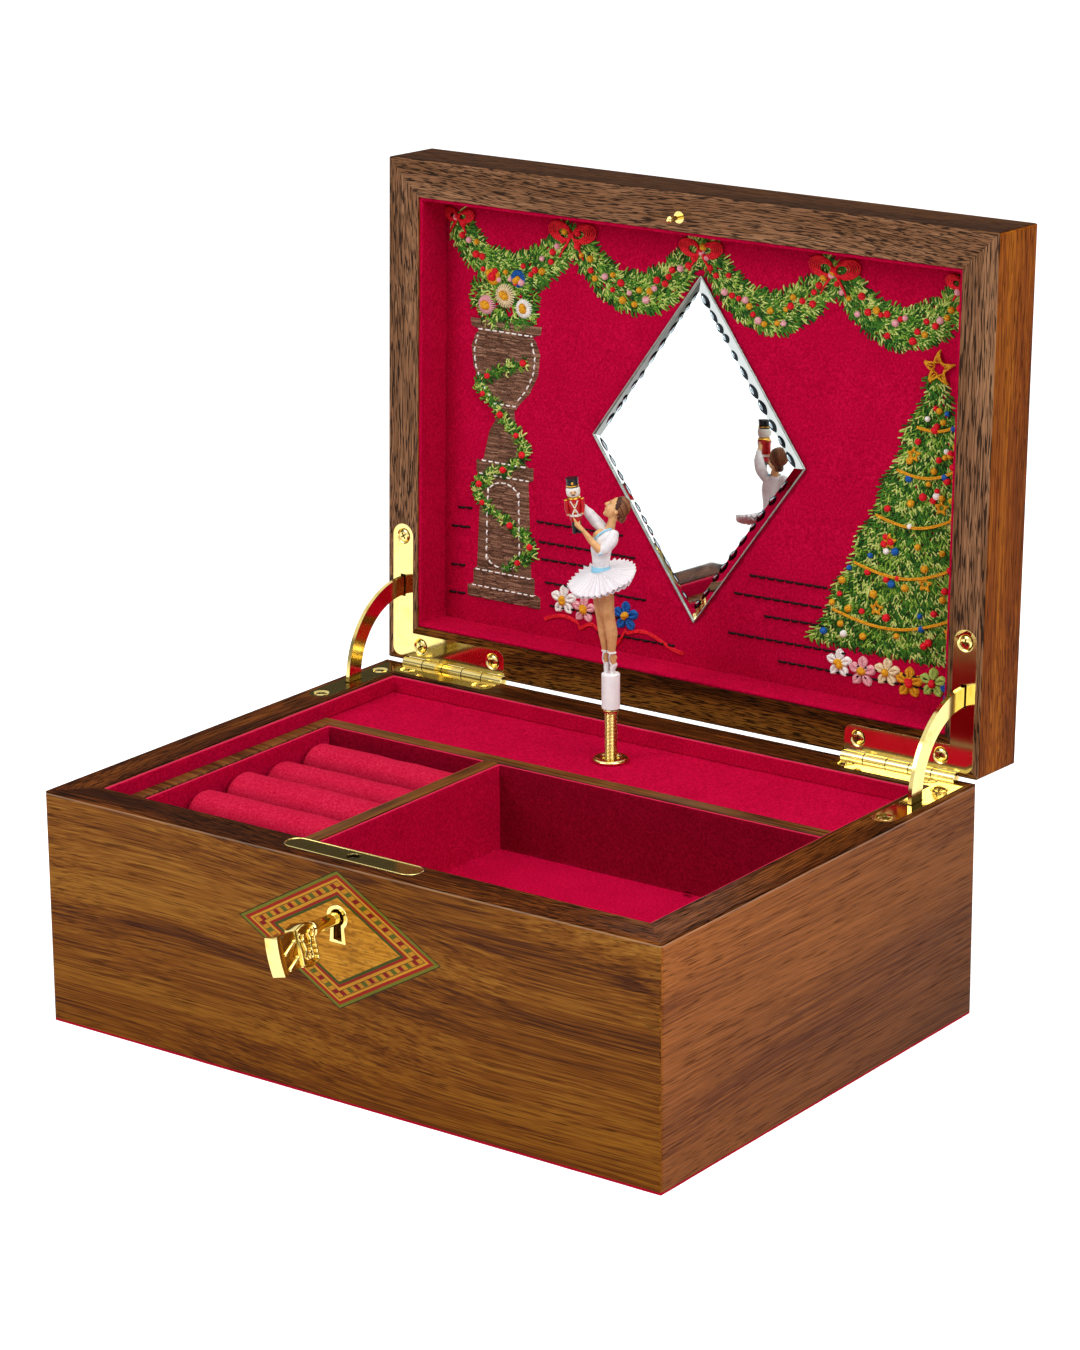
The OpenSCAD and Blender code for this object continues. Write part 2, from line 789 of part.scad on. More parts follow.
module compartment_boards() {
  color("burlywood") {
    box(-in_x, in_x, -in_y, divider_y, bay_base - board_t, bay_base);
    box(ring_x0, ring_x1, bay_y0, bay_y1, ring_z - cloth_t - board_t, ring_z - cloth_t);
  }
}

module open_card_box(x0, x1, z0) {
  difference() {
    box(x0, x1, bay_y0, bay_y1, z0 - cloth_t, card_top);
    box(x0 + card_t, x1 - card_t, bay_y0 + card_t, bay_y1 - card_t, z0, card_top + cut);
  }
}

module deep_lining() { color("crimson") open_card_box(deep_x0, deep_x1, deep_z); }
module ring_tray_lining() { color("crimson") open_card_box(ring_x0, ring_x1, ring_z); }

// Each roll stands on a flat foot, so that it rests on the floor.
module ring_rolls() {
  r = min(roll_pitch / 2 - roll_gap, roll_h / 2);
  x0 = ring_x0 + card_t + roll_gap;
  x1 = ring_x1 - card_t - roll_gap;
  color("crimson") for (i = [0:roll_count - 1])
    translate([0, bay_y0 + card_t + roll_pitch * (i + 0.5), ring_z]) {
      along_x(x0, 0, roll_h - r) cylinder(h = x1 - x0, r = r);
      box(x0, x1, -r * 0.7, r * 0.7, 0, roll_h - r);
    }
}

module platform_board() {
  color("burlywood") difference() {
    box(-in_x, in_x, divider_y, in_y, platform_z - 0.8 - board_t, platform_z - 0.8);
    translate([0, dancer_y, 0]) cylinder(h = case_h, r = eyelet_bore);
  }
}

module platform_lining() {
  color("crimson") difference() {
    box(-in_x, in_x, divider_y, in_y, platform_z - 0.8, platform_z);
    translate([0, dancer_y, 0]) cylinder(h = case_h, r = eyelet_bore);
  }
}

module platform_eyelet() {
  r = eyelet_t / 2;
  color("gold") translate([0, dancer_y, 0]) rotate_extrude() {
    translate([eyelet_bore - 0.1, platform_z]) square([eyelet_r - eyelet_bore - r + 0.1, eyelet_t]);
    translate([eyelet_r - r, platform_z + r]) circle(r);
    translate([eyelet_bore - 0.5, platform_z - 0.8 - board_t]) square([0.45, board_t + 0.8 + eyelet_t]);
  }
}

module support_battens() {
  color("burlywood") both_sides() {
    box(in_x - batten, in_x, -in_y, divider_y, bay_base - board_t - batten, bay_base - board_t);
    box(in_x - batten, in_x, divider_y, in_y, platform_z - 0.8 - board_t - batten, platform_z - 0.8 - board_t);
  }
}

// ---- Lid ----

module lid_board(side) {
  difference() {
    mitred_board(side, lid_z, lid_top_z, edge_r * 1.3, edge_r);
    if (side > 0) as_lid() both_sides() {
      stay_pocket(-lid_pocket_a, 0);
      plate_mortise(3);
    }
    if (side == 0) translate([0, lock_y, lid_z - cut]) {
      cylinder(h = cut + 6, r = stud_r);
      cylinder(h = cut + 1.21, r = 2);
    }
  }
}

module lid_front_rail() { color("saddlebrown") swing_open() lid_board(0); }
module lid_right_rail() { color("sienna") swing_open() lid_board(1); }
module lid_rear_rail() { color("saddlebrown") swing_open() lid_board(2); }
module lid_left_rail() { color("sienna") swing_open() lid_board(3); }

module lid_top_panel() {
  color("saddlebrown") swing_open()
    box(-in_x, in_x, -in_y, in_y, panel_z + embroidery_t, lid_top_z);
}

module lid_lining() {
  color("crimson") swing_open() difference() {
    box(-in_x, in_x, -in_y, in_y, lid_z + lining_drop, panel_z);
    box(-room_x, room_x, -room_y, room_y, lid_z, panel_z + cut);
  }
}

module embroidered_panel() {
  color("crimson") swing_open() box(-in_x, in_x, -in_y, in_y, panel_z, panel_z + embroidery_t);
}

module rhombus(w, h) {
  polygon([[-w / 2, 0], [0, -h / 2], [w / 2, 0], [0, h / 2]]);
}

module lid_mirror() {
  small = 1 - 2 * mirror_bevel / mirror_w;
  edge_t = mirror_t * 0.45;
  color("lightsteelblue") swing_open() {
    translate([0, 0, panel_z - edge_t]) linear_extrude(edge_t) rhombus(mirror_w, mirror_h);
    hull() {
      translate([0, 0, panel_z - edge_t]) linear_extrude(0.01) rhombus(mirror_w, mirror_h);
      translate([0, 0, panel_z - mirror_t]) linear_extrude(0.01)
        rhombus(mirror_w * small, mirror_h * small);
    }
  }
}

// ---- Musical movement ----

function gear_points(n, m) = [
  for (i = [0:n - 1], k = [[-0.29, -1.05], [-0.11, 0.75], [0.11, 0.75], [0.29, -1.05]])
    let (a = 360 / n * (i + k.x), r = m * n / 2 + m * k.y) [r * cos(a), r * sin(a)]
];

module gear(n, m, t, bore) {
  linear_extrude(t) difference() {
    polygon(gear_points(n, m));
    circle(bore);
  }
}

module movement_board() {
  color("burlywood") difference() {
    union() {
      box(bed_x0 - 4, bed_x1 + 4, bed_y0, bed_y1, movement_z - board_thick, movement_z);
      for (x = [bed_x0 - 4, bed_x1 - 4]) box(x, x + batten, bed_y0, bed_y1, floor_z, movement_z);
    }
    translate([barrel_x, barrel_y, 0]) cylinder(h = case_h, r = winding_arbor_r + 1);
  }
}

module bearing(x, z) {
  box(x, x + bearing_t, barrel_y - bearing_half, barrel_y + bearing_half, movement_z, z + arbor_r + bearing_rim);
}

module movement_frame() {
  color("darkgray") difference() {
    union() {
      box(bed_x0, bed_x1, bed_y0, bed_y1, movement_z, bed_z);
      bearing(bearing_x1 - bearing_t, cylinder_z);
      bearing(bearing_x0, cylinder_z);
      bearing(fan_plate_x, fan_z);
      box(cylinder_x0, cylinder_x1, comb_y0, comb_y0 + comb_seat, movement_z, cylinder_z - comb_t);
    }
    along_x(fan_plate_x - cut, barrel_y, cylinder_z)
      cylinder(h = bearing_x1 - fan_plate_x + 2 * cut, r = arbor_r + shaft_gap);
    along_x(fan_plate_x - cut, barrel_y, fan_z)
      cylinder(h = bearing_x0 - fan_plate_x + bearing_t + 2 * cut, r = arbor_r + shaft_gap);
    translate([barrel_x, barrel_y, 0]) cylinder(h = case_h, r = winding_arbor_r + shaft_gap);
    translate([0, dancer_y, movement_z - cut]) cylinder(h = 4, r = spindle_r + shaft_gap);
  }
}

module spring_barrel() {
  color("gold") translate([barrel_x, barrel_y, 0]) difference() {
    union() {
      translate([0, 0, barrel_z]) cylinder(h = wheel_z - barrel_z, r = barrel_r);
      translate([0, 0, wheel_z]) rotate([0, 0, train_a]) gear(wheel_n, wheel_m, wheel_t, 1);
      for (i = [0:wheel_n - 1]) rotate([0, 0, 180 + i * 360 / wheel_n])
        translate([crown_r - crown_w / 2, 0, wheel_z + wheel_t]) rotate([90, 0, 90])
          linear_extrude(crown_w) polygon([[-0.42, -0.1], [0.42, -0.1], [0.14, crown_h], [-0.14, crown_h]]);
    }
    translate([0, 0, barrel_z - cut]) cylinder(h = wheel_z - barrel_z, r = winding_arbor_r + shaft_gap);
  }
}

module winding_key() {
  wing_z = felt_t + wing_rise + wing_r;
  wing_x = key_wing_r - wing_r;
  hub_z = wing_z - wing_web / 2 + 0.5;
  color("gold") translate([barrel_x, barrel_y, 0]) {
    translate([0, 0, hub_z]) cylinder(h = wheel_z - 1 - hub_z, r = winding_arbor_r);
    translate([0, 0, hub_z]) cylinder(h = movement_z - board_thick - 1 - hub_z, r = winding_hub_r);
    for (s = [-1, 1]) translate([s * wing_x, 0, wing_z]) rotate([90, 0, 0])
      cylinder(h = wing_t, r = wing_r, center = true);
    box(-wing_x, wing_x, -wing_t / 2, wing_t / 2, wing_z - wing_web / 2, wing_z + wing_web / 2);
  }
}

module music_cylinder() {
  track = (cylinder_l - 4) / comb_n;
  color("gold") {
    along_x(cylinder_x0, barrel_y, cylinder_z) cylinder(h = cylinder_l, r = cylinder_r);
    along_x(bearing_x0 - 0.6, barrel_y, cylinder_z)
      cylinder(h = barrel_x - crown_r + crown_w / 2 - bearing_x0 + 0.6, r = arbor_r);
    translate([barrel_x - crown_r - crown_w / 2, barrel_y, cylinder_z]) rotate([90, 0, 90])
      rotate([0, 0, -90 + 180 / pinion_n]) gear(pinion_n, crown_m, crown_w, arbor_r - 0.2);
    translate([flange_x, barrel_y, cylinder_z]) rotate([90, 0, 90])
      rotate([0, 0, -90]) gear(flange_n, flange_m, flange_t, arbor_r - 0.2);
    for (t = [0:comb_n - 1], p = [0:tune_pins - 1])
      translate([cylinder_x0 + 2 + track * (t + 0.5), barrel_y, cylinder_z])
        rotate([t * 53 + p * 360 / tune_pins, 0, 0]) translate([0, 0, cylinder_r - 0.3])
          cylinder(h = pin_h + 0.3, r = 0.22);
  }
}

module music_comb() {
  track = (cylinder_l - 4) / comb_n;
  color("lightgray") difference() {
    box(cylinder_x0, cylinder_x1, comb_y0, comb_y1, cylinder_z - comb_t, cylinder_z);
    for (t = [0:comb_n])
      translate([cylinder_x0 + 2 + track * t - 0.15, comb_y0 + comb_seat, cylinder_z - comb_t - cut])
        cube([0.3, comb_y1, comb_t + 2 * cut]);
  }
}

module governor_fan() {
  color("silver") {
    along_x(fan_plate_x + 0.2, barrel_y, fan_z) cylinder(h = flange_x + flange_t - fan_plate_x, r = arbor_r);
    translate([flange_x, barrel_y, fan_z]) rotate([90, 0, 90])
      rotate([0, 0, 90 + 180 / fan_n]) gear(fan_n, flange_m, flange_t, arbor_r - 0.3);
    along_x(fan_x, barrel_y, fan_z) cylinder(h = 0.8, r = fan_r);
    for (a = [0, 90]) translate([fan_x, barrel_y, fan_z]) rotate([a, 0, 0])
      translate([0, -0.3, -fan_r]) cube([fan_l, 0.6, 2 * fan_r]);
  }
}

module figure_spindle() {
  color("gold") translate([0, dancer_y, 0]) {
    translate([0, 0, movement_z + 0.1]) cylinder(h = spring_z - spindle_top_h - movement_z, r = spindle_r);
    translate([0, 0, spring_z - spindle_top_h]) cylinder(h = spindle_top_h, r = spindle_top_r);
    translate([0, 0, wheel_z]) rotate([0, 0, train_a + 180 + 180 / spindle_n])
      gear(spindle_n, wheel_m, wheel_t, spindle_r - 0.2);
  }
}

// ---- Dancer ----

// The close wound spring, drawn as one turned body with a groove between the turns.
module figure_spring() {
  turns = floor((spring_top - spring_z) / coil_pitch);
  p = (spring_top - spring_z) / turns;
  outline = [for (i = [0:turns - 1], k = [[0.2, 0.12], [0, 0.35], [0, 0.65], [0.2, 0.88]])
    [spring_r - k.x, spring_z + p * (i + k.y)]];
  color("gold") translate([0, dancer_y, 0]) rotate_extrude()
    polygon(concat([[spring_bore, spring_z]], [[spring_r - 0.2, spring_z]], outline,
      [[spring_r - 0.2, spring_top]], [[spring_bore, spring_top]]));
}

module figure_post() {
  color("gold") translate([0, dancer_y, spring_top - 7])
    cylinder(h = 7 + stand_h - 2, r = post_r);
}

module dancer_stand() {
  color("white") translate([0, dancer_y, spring_top]) difference() {
    cylinder(h = stand_h, r = stand_r);
    translate([0, 0, -cut]) cylinder(h = stand_h - 1.4 + cut, r = post_r + post_gap);
  }
}

module at_dancer() {
  translate([0, dancer_y, toe_z]) rotate([0, 0, dancer_turn]) children();
}

module limb(a, ra, b, rb) {
  hull() {
    translate(a) sphere(ra, $fn = 20);
    translate(b) sphere(rb, $fn = 20);
  }
}

// Joints of the figure: X is the way it faces, Y its left, Z up from the toes.
hip = [2.4, 0, 28.8];
waist = [3.1, 0, 35.6];
chest = [2, 0, 44.2];
neck = [0.1, 0, 50.2];
head = [-1.6, 0, 55.9];
left_shoulder = [-1.5, 2.6, 48.2];
right_shoulder = [2.4, -2.6, 49.4];
left_elbow = [3.4, 4, 43.8];
right_elbow = [6, -3.8, 52.4];
left_hand = [10.2, 2.9, 51];
right_hand = [9, -2.8, 55];
soldier_foot = [10.8, 0.2, 48.4];
soldier_head = [12.2, 0.2, 63.2];
tutu_tilt = 16;
tutu_lean = 12;

module dancer_legs() {
  color("burlywood") at_dancer() for (s = [-1, 1]) {
    limb([0, 0.9 * s, 1.3], 1, [0.6 - 0.2 * s, 1 * s, 6], 1);
    limb([0.6 - 0.2 * s, 1 * s, 6], 1, [0.6 - 0.5 * s, 1.3 * s, 14], 1.6);
    limb([0.6 - 0.5 * s, 1.3 * s, 14], 1.6, [1.6 - 0.3 * s, 1.4 * s, 20], 1.5);
    limb([1.6 - 0.3 * s, 1.4 * s, 20], 1.5, hip + [-0.3 * s, 1.7 * s, 0], 2.2);
  }
}

module dancer_tutu() {
  rim = 0.5;
  color("white") at_dancer() translate(waist - [0, 0, 2.2]) rotate([-tutu_lean, tutu_tilt, 0])
    rotate_extrude() polygon([
      [0, -1.8], [tutu_r, -1.5 - rim], [tutu_r, -1.5], [4.5, 1.2], [2.6, 2.4], [0, 2.4]
    ]);
}

module dancer_bodice() {
  color("white") at_dancer() {
    hull() {
      translate(waist + [0, 0, 2.8]) scale([1, 0.85, 0.5]) sphere(3, $fn = 24);
      translate(chest) scale([0.9, 1, 1]) sphere(3.3, $fn = 24);
    }
    hull() {
      translate(chest) sphere(3, $fn = 24);
      translate(left_shoulder) sphere(1.6, $fn = 20);
      translate(right_shoulder) sphere(1.6, $fn = 20);
    }
    limb(left_shoulder, 1.8, left_elbow, 1.5);
    limb(right_shoulder, 1.6, right_elbow, 1.5);
    limb(right_elbow, 1.5, right_hand, 1.1);
  }
}

module dancer_arms() {
  color("burlywood") at_dancer() {
    limb(left_elbow + 0.28 * (left_hand - left_elbow), 1.2, left_hand, 0.9);
    limb(right_hand + [1, 0.2, 1.7], 0.8, right_hand + [1.8, 0.3, 2.6], 0.7);
  }
}

module dancer_head() {
  color("tan") at_dancer() {
    limb(neck + [-0.3, 0, 1.3], 1.1, head - [0.4, 0, 2.4], 1.2);
    translate(head) rotate([0, -28, 0]) scale([0.92, 0.85, 1.1]) sphere(3.5, $fn = 32);
  }
  color("saddlebrown") at_dancer() {
    translate(head + [-1, 0, 0.9]) sphere(3.5, $fn = 32);
    translate(head + [-2.3, 0, -2.4]) sphere(1.7, $fn = 24);
  }
}

module toy_soldier() {
  color("red") at_dancer() {
    limb(soldier_foot, 1.5, soldier_head, 2);
    limb(soldier_head, 2.3, soldier_head + [0.3, 0, 3.4], 1.8);
  }
}

front_panel();
right_panel();
rear_panel();
left_panel();
base_board();
base_felt();
inlay_banding();
inlay_field();
keyhole_escutcheon();
lock_case();
lock_plate();
lock_bolt();
door_key();
case_lining();
long_divider();
cross_divider();
tray_frame();
compartment_boards();
deep_lining();
ring_tray_lining();
ring_rolls();
platform_board();
platform_lining();
platform_eyelet();
support_battens();
base_hinge_left();
base_hinge_right();
lid_hinge_left();
lid_hinge_right();
hinge_pins();
stay_left();
stay_right();
base_hinge_screws();
lid_hinge_screws();
lid_front_rail();
lid_right_rail();
lid_rear_rail();
lid_left_rail();
lid_top_panel();
lid_lining();
embroidered_panel();
lid_mirror();
lock_stud();
movement_board();
movement_frame();
spring_barrel();
winding_key();
music_cylinder();
music_comb();
governor_fan();
figure_spindle();
figure_spring();
figure_post();
dancer_stand();
dancer_legs();
dancer_tutu();
dancer_bodice();
dancer_arms();
dancer_head();
toy_soldier();
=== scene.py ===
"""Looks of the ballerina jewellery box, built on its packed CAD frame."""

import json
import random
from math import atan2, cos, hypot, pi, radians, sin, sqrt, tau
from types import SimpleNamespace

import bmesh
import bpy
from mathutils import Matrix, Vector, noise

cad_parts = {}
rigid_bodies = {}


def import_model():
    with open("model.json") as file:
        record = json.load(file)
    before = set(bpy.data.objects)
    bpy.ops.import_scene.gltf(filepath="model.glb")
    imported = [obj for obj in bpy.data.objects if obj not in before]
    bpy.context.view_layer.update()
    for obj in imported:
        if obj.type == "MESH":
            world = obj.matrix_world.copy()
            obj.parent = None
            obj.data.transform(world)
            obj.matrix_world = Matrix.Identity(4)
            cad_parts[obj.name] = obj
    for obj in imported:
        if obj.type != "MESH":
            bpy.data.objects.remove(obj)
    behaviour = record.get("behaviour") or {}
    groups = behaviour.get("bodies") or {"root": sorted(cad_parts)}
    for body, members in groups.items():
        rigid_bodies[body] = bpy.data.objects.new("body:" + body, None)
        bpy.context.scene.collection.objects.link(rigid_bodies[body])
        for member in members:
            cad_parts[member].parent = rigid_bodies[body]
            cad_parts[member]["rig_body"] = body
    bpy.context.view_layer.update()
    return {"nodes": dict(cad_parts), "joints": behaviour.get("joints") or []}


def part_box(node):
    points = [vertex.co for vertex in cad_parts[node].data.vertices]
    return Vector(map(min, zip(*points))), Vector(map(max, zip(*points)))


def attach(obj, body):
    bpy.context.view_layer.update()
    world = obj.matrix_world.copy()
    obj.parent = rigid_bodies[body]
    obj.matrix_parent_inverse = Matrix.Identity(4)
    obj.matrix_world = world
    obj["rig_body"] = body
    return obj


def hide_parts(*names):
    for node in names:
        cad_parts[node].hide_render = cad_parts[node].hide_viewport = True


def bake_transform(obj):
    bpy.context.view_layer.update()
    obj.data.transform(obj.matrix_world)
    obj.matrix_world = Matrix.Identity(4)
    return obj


bl_info = {
    "name": "Ballerina Jewellery Box",
    "version": (1, 0, 0),
    "blender": (4, 5, 0),
    "location": "View3D > Sidebar > Jewellery Box",
    "description": "Builds the linings, embroidery, inlay, lock, movement and dancer "
                   "of a wooden musical jewellery box",
    "category": "Object",
}

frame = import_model()
MM = 0.001


def limits(node):
    """Lowest and highest corner of a CAD node, in millimetres."""
    low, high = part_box(node)
    return low / MM, high / MM


def pivot(joint):
    """A CAD joint's place, in millimetres."""
    return [c / MM for c in JOINTS[joint]["pos_m"]]


# Places that the CAD model settles, in millimetres
JOINTS = {joint["name"]: joint for joint in frame["joints"]}
CASE_LOW, CASE_HIGH = limits("front_panel")
FRONT_Y, BACK_Y = CASE_LOW.y, limits("rear_panel")[1].y
RIM_Z = CASE_HIGH.z
_, HINGE_Y, HINGE_Z = pivot("lid_hinge")
LID_OPEN = radians(JOINTS["lid_hinge"]["range_deg"][1])
_, FIGURE_Y, FOLD_Z = pivot("dancer_fold")
KEY_Z = pivot("key_turn")[2]
TOE_Z = limits("dancer_stand")[1].z
# The padded panel in the lid: the depth of its face behind the rim plane and the height of its middle
PANEL_FRONT = 15.0
PANEL_MIDDLE = 89.0
# Half width and half height of the mirror on it
MIRROR_X, MIRROR_V = 42.5, 59.0


def linear(hex_colour):
    """An sRGB hex colour such as '#A9092F' as linear RGBA."""
    value = hex_colour.lstrip("#")
    channels = [int(value[i : i + 2], 16) / 255 for i in (0, 2, 4)]
    return tuple(c / 12.92 if c <= 0.04045 else ((c + 0.055) / 1.055) ** 2.4 for c in channels) + (1.0,)


def evenly(count, span=1.0):
    """The values from 0 to span in even steps, both ends among them."""
    return [span * i / count for i in range(count + 1)]


# ---------------------------------------------------------------- node trees


def plug(tree, node, inputs):
    """Links or sets a node's inputs, given by name or number."""
    for name, value in inputs.items():
        value = getattr(value, "socket", value)
        if isinstance(value, bpy.types.NodeSocket):
            tree.links.new(value, node.inputs[name])
        else:
            node.inputs[name].default_value = value


def add(tree, kind, inputs=None, stops=None, **settings):
    """Adds a node with its settings, its input values or links, and a colour ramp's stops."""
    node = tree.nodes.new(kind)
    for name, value in settings.items():
        setattr(node, name, value)
    plug(tree, node, inputs or {})
    if stops:
        elements = node.color_ramp.elements
        while len(elements) > 1:
            elements.remove(elements[-1])
        for i, (at, colour) in enumerate(stops):
            element = elements[0] if i == 0 else elements.new(at)
            element.position = at
            element.color = linear(colour) if isinstance(colour, str) else (colour,) * 3 + (1.0,)
    return node


class Wire:
    """A node's output to write sums with: each sign adds a Math node."""

    def __init__(self, socket):
        self.socket, self.tree = socket, socket.id_data

    def maths(self, operation, *others):
        inputs = dict(enumerate((self, *others)))
        return Wire(add(self.tree, "ShaderNodeMath", inputs, operation=operation).outputs[0])

    def __add__(self, other):
        return self.maths("ADD", other)

    def __sub__(self, other):
        return self.maths("SUBTRACT", other)

    def __rsub__(self, other):
        inputs = {0: other, 1: self}
        return Wire(add(self.tree, "ShaderNodeMath", inputs, operation="SUBTRACT").outputs[0])

    def __mul__(self, other):
        return self.maths("MULTIPLY", other)

    def __truediv__(self, other):
        return self.maths("DIVIDE", other)

    def __gt__(self, other):
        return self.maths("GREATER_THAN", other)

    def __lt__(self, other):
        return self.maths("LESS_THAN", other)

    def __abs__(self):
        return self.maths("ABSOLUTE")

    def ramp(self, *stops, blend="LINEAR"):
        """A colour ramp over this value, with stops of a place and a colour or a grey level."""
        node = add(self.tree, "ShaderNodeValToRGB", {0: self}, stops)
        node.color_ramp.interpolation = blend
        return Wire(node.outputs[0])

    def parts(self):
        """The vector's x, y and z."""
        return [Wire(part) for part in add(self.tree, "ShaderNodeSeparateXYZ", {0: self}).outputs]


def mixed(tree, share, a, b, blend="MIX"):
    """Colour a turned to colour b by share."""
    a, b = (linear(colour) if isinstance(colour, str) else colour for colour in (a, b))
    node = add(tree, "ShaderNodeMix", {0: share, 6: a, 7: b}, data_type="RGBA", blend_type=blend)
    return Wire(node.outputs[2])


def lumps(tree, point, scale=1.0, detail=2.0, roughness=0.5):
    """Noise from 0 to 1 whose lumps are about 1 / scale across."""
    inputs = {"Vector": point, "Scale": scale, "Detail": detail, "Roughness": roughness}
    return Wire(add(tree, "ShaderNodeTexNoise", inputs).outputs[0])


def seen_white(tree):
    """1 where the camera, shiny things or clear things look, else 0, and the rays' node itself."""
    rays = add(tree, "ShaderNodeLightPath")
    kinds = ("Camera", "Glossy", "Transmission")
    camera, glossy, clear = (Wire(rays.outputs[f"Is {kind} Ray"]) for kind in kinds)
    return camera.maths("MAXIMUM", glossy.maths("MAXIMUM", clear)), rays


class Look:
    """A material in the making: its shader, and a point in millimetres to hang patterns on."""

    def __init__(self, name, **inputs):
        self.made = bpy.data.materials.new(name)
        self.made.use_nodes = True
        self.tree = self.made.node_tree
        self.tree.nodes.clear()
        out = add(self.tree, "ShaderNodeOutputMaterial")
        self.shader = add(self.tree, "ShaderNodeBsdfPrincipled")
        self.set(**inputs)
        self.tree.links.new(self.shader.outputs[0], out.inputs[0])
        place = add(self.tree, "ShaderNodeTexCoord").outputs["Object"]
        self.point = self.vector("SCALE", {0: place, "Scale": 1 / MM})

    def set(self, **inputs):
        """Links or sets the shader's inputs, with underscores for the spaces in their names."""
        plug(self.tree, self.shader, {name.replace("_", " "): value for name, value in inputs.items()})

    def vector(self, operation, inputs):
        return Wire(add(self.tree, "ShaderNodeVectorMath", inputs, operation=operation).outputs[0])

    def mapped(self, scale, turn=(0.0, 0.0, 0.0), shift=(0.0, 0.0, 0.0)):
        """The point scaled, turned and moved for a pattern of its own."""
        inputs = {"Vector": self.point, "Scale": scale, "Rotation": turn, "Location": shift}
        return Wire(add(self.tree, "ShaderNodeMapping", inputs).outputs[0])

    def noise(self, size, detail=2.0, roughness=0.5, point=None):
        """Noise whose lumps are size millimetres across, given as one size or as one for each axis."""
        if isinstance(size, tuple):
            return lumps(self.tree, self.mapped([1 / s for s in size]), 1.0, detail, roughness)
        return lumps(self.tree, point or self.point, 1 / size, detail, roughness)

    def mark(self, attribute):
        """The value that the mesh's points carry."""
        return Wire(add(self.tree, "ShaderNodeAttribute", attribute_name=attribute).outputs["Fac"])

    def mix(self, share, a, b, blend="MIX"):
        return mixed(self.tree, share, a, b, blend)

    def done(self, colour, height=None, strength=0.5, distance=0.0002, **inputs):
        """The material, in its colour and bumped by a height from 0 to 1, distance metres deep."""
        if height:
            bump = {"Height": height, "Strength": strength, "Distance": distance}
            inputs["Normal"] = add(self.tree, "ShaderNodeBump", bump).outputs[0]
        self.set(Base_Color=colour, **inputs)
        return self.made


# ---------------------------------------------------------------- materials

# How a pattern drawn along X is turned to run along an axis
RUN = {"x": (0, 0, 0), "y": (0, 0, pi / 2)}


def walnut(name, along, tones, pores=0.5, shift=0.0, tilt=0.0, polish=0.05, cap=None, stain=None):
    """Walnut sawn into boards, sanded and oiled: the grain runs along one axis, in soft bands with fine
    darker streaks and short open pores, so that the eye sees long warm figure and dark dashes in it.

    The tones go from dark to light. The cap, given by a sign, a level on Z and its pore colour, tones,
    polish and share of pale arris, is the part of the board beyond that level, whose edge carries a painted
    highlight: a thin pale line where a rounded arris would catch the light. The painted shade, given by a
    direction, the stretch along it and a tint, darkens the colour towards its far end, as shade falls there."""
    look = Look(name, Roughness=0.42, Specular_IOR_Level=polish)
    if tilt:
        look.point = look.mapped((1, 1, 1), (tilt, 0, 0))
    place = look.point
    look.point = look.mapped((1, 1, 1), RUN[along], (shift * 37.0, shift * 11.0, shift * 23.0))
    wander = (look.noise((240, 60, 60), 1.0) - 0.5) * 26.0
    warp = add(look.tree, "ShaderNodeCombineXYZ", {1: wander, 2: wander}).outputs[0]
    look.point = look.vector("ADD", {0: look.point, 1: warp})
    bands = look.noise((420, 14, 14), 2.0, 0.45)
    streaks = look.noise((48, 0.65, 0.65), 2.0, 0.6)
    dashes = look.noise((20 - 20 * pores, 0.34, 0.34), 1.0)
    tone = bands * 0.5 + streaks * 0.5
    colour = tone.ramp(*zip((0.38, 0.5, 0.62), tones))
    level = 0.6 - 0.06 * pores
    pore = dashes.ramp((level, 0.0), (level + 0.07, 1.0))
    hollow = look.mix(1.0, look.mix(0.5, colour, tones[0]), "#8C7C70", "MULTIPLY")
    colour = look.mix(pore * (0.5 + 0.4 * pores), colour, hollow)
    # Painted shade: the colour darkens towards the far end of a direction
    if stain:
        way, near, far, tint = stain
        run = add(look.tree, "ShaderNodeVectorMath", {0: place, 1: way},
                  operation="DOT_PRODUCT").outputs["Value"]
        share = add(look.tree, "ShaderNodeMapRange", {"Value": run, "From Min": near,
                                                      "From Max": far}).outputs[0]
        colour = look.mix(share, colour, tint, "MULTIPLY")
    if cap:
        sign, edge, pore_colour, cap_tones, cap_polish, arris = cap
        past = place.parts()[2] * sign - edge
        beyond = past > 0.0
        # Painted highlight: a thin pale line just below the cap's level, where a rounded arris would catch the
        # light
        painted_arris_highlight = (past + 0.7).ramp((0.05, 0.0), (0.3, arris), (0.6, arris), (0.72, 0.0))
        colour = look.mix(painted_arris_highlight, colour, "#C9B8A6")
        other = tone.ramp(*zip((0.4, 0.5, 0.6), cap_tones))
        other = look.mix(dashes.ramp((0.51, 0.0), (0.57, 1.0)) * 0.9, other, pore_colour)
        colour = look.mix(beyond, colour, other)
        look.set(Specular_IOR_Level=polish - beyond * (polish - cap_polish))
    return look.done(colour, 1.0 - pore, 0.3, 0.00015, Roughness=dashes.ramp((0.4, 0.38), (0.7, 0.6)))


def satinwood(name, along, dark, light):
    """Golden timber planed and waxed: straight grain in dark and bright streaks with a shimmer across it,
    so that the dividers look silky."""
    look = Look(name, Specular_IOR_Level=0.12)
    look.point = look.mapped((1, 1, 1), RUN[along])
    grain = look.noise((40, 0.9, 0.9), 4.0, 0.6)
    shimmer = look.noise((26, 9, 28))
    colour = (grain * 0.7 + shimmer * 0.3).ramp((0.4, dark), (0.6, light))
    return look.done(colour, grain, 0.2, 0.0001, Roughness=grain.ramp((0.3, 0.34), (0.7, 0.5)))


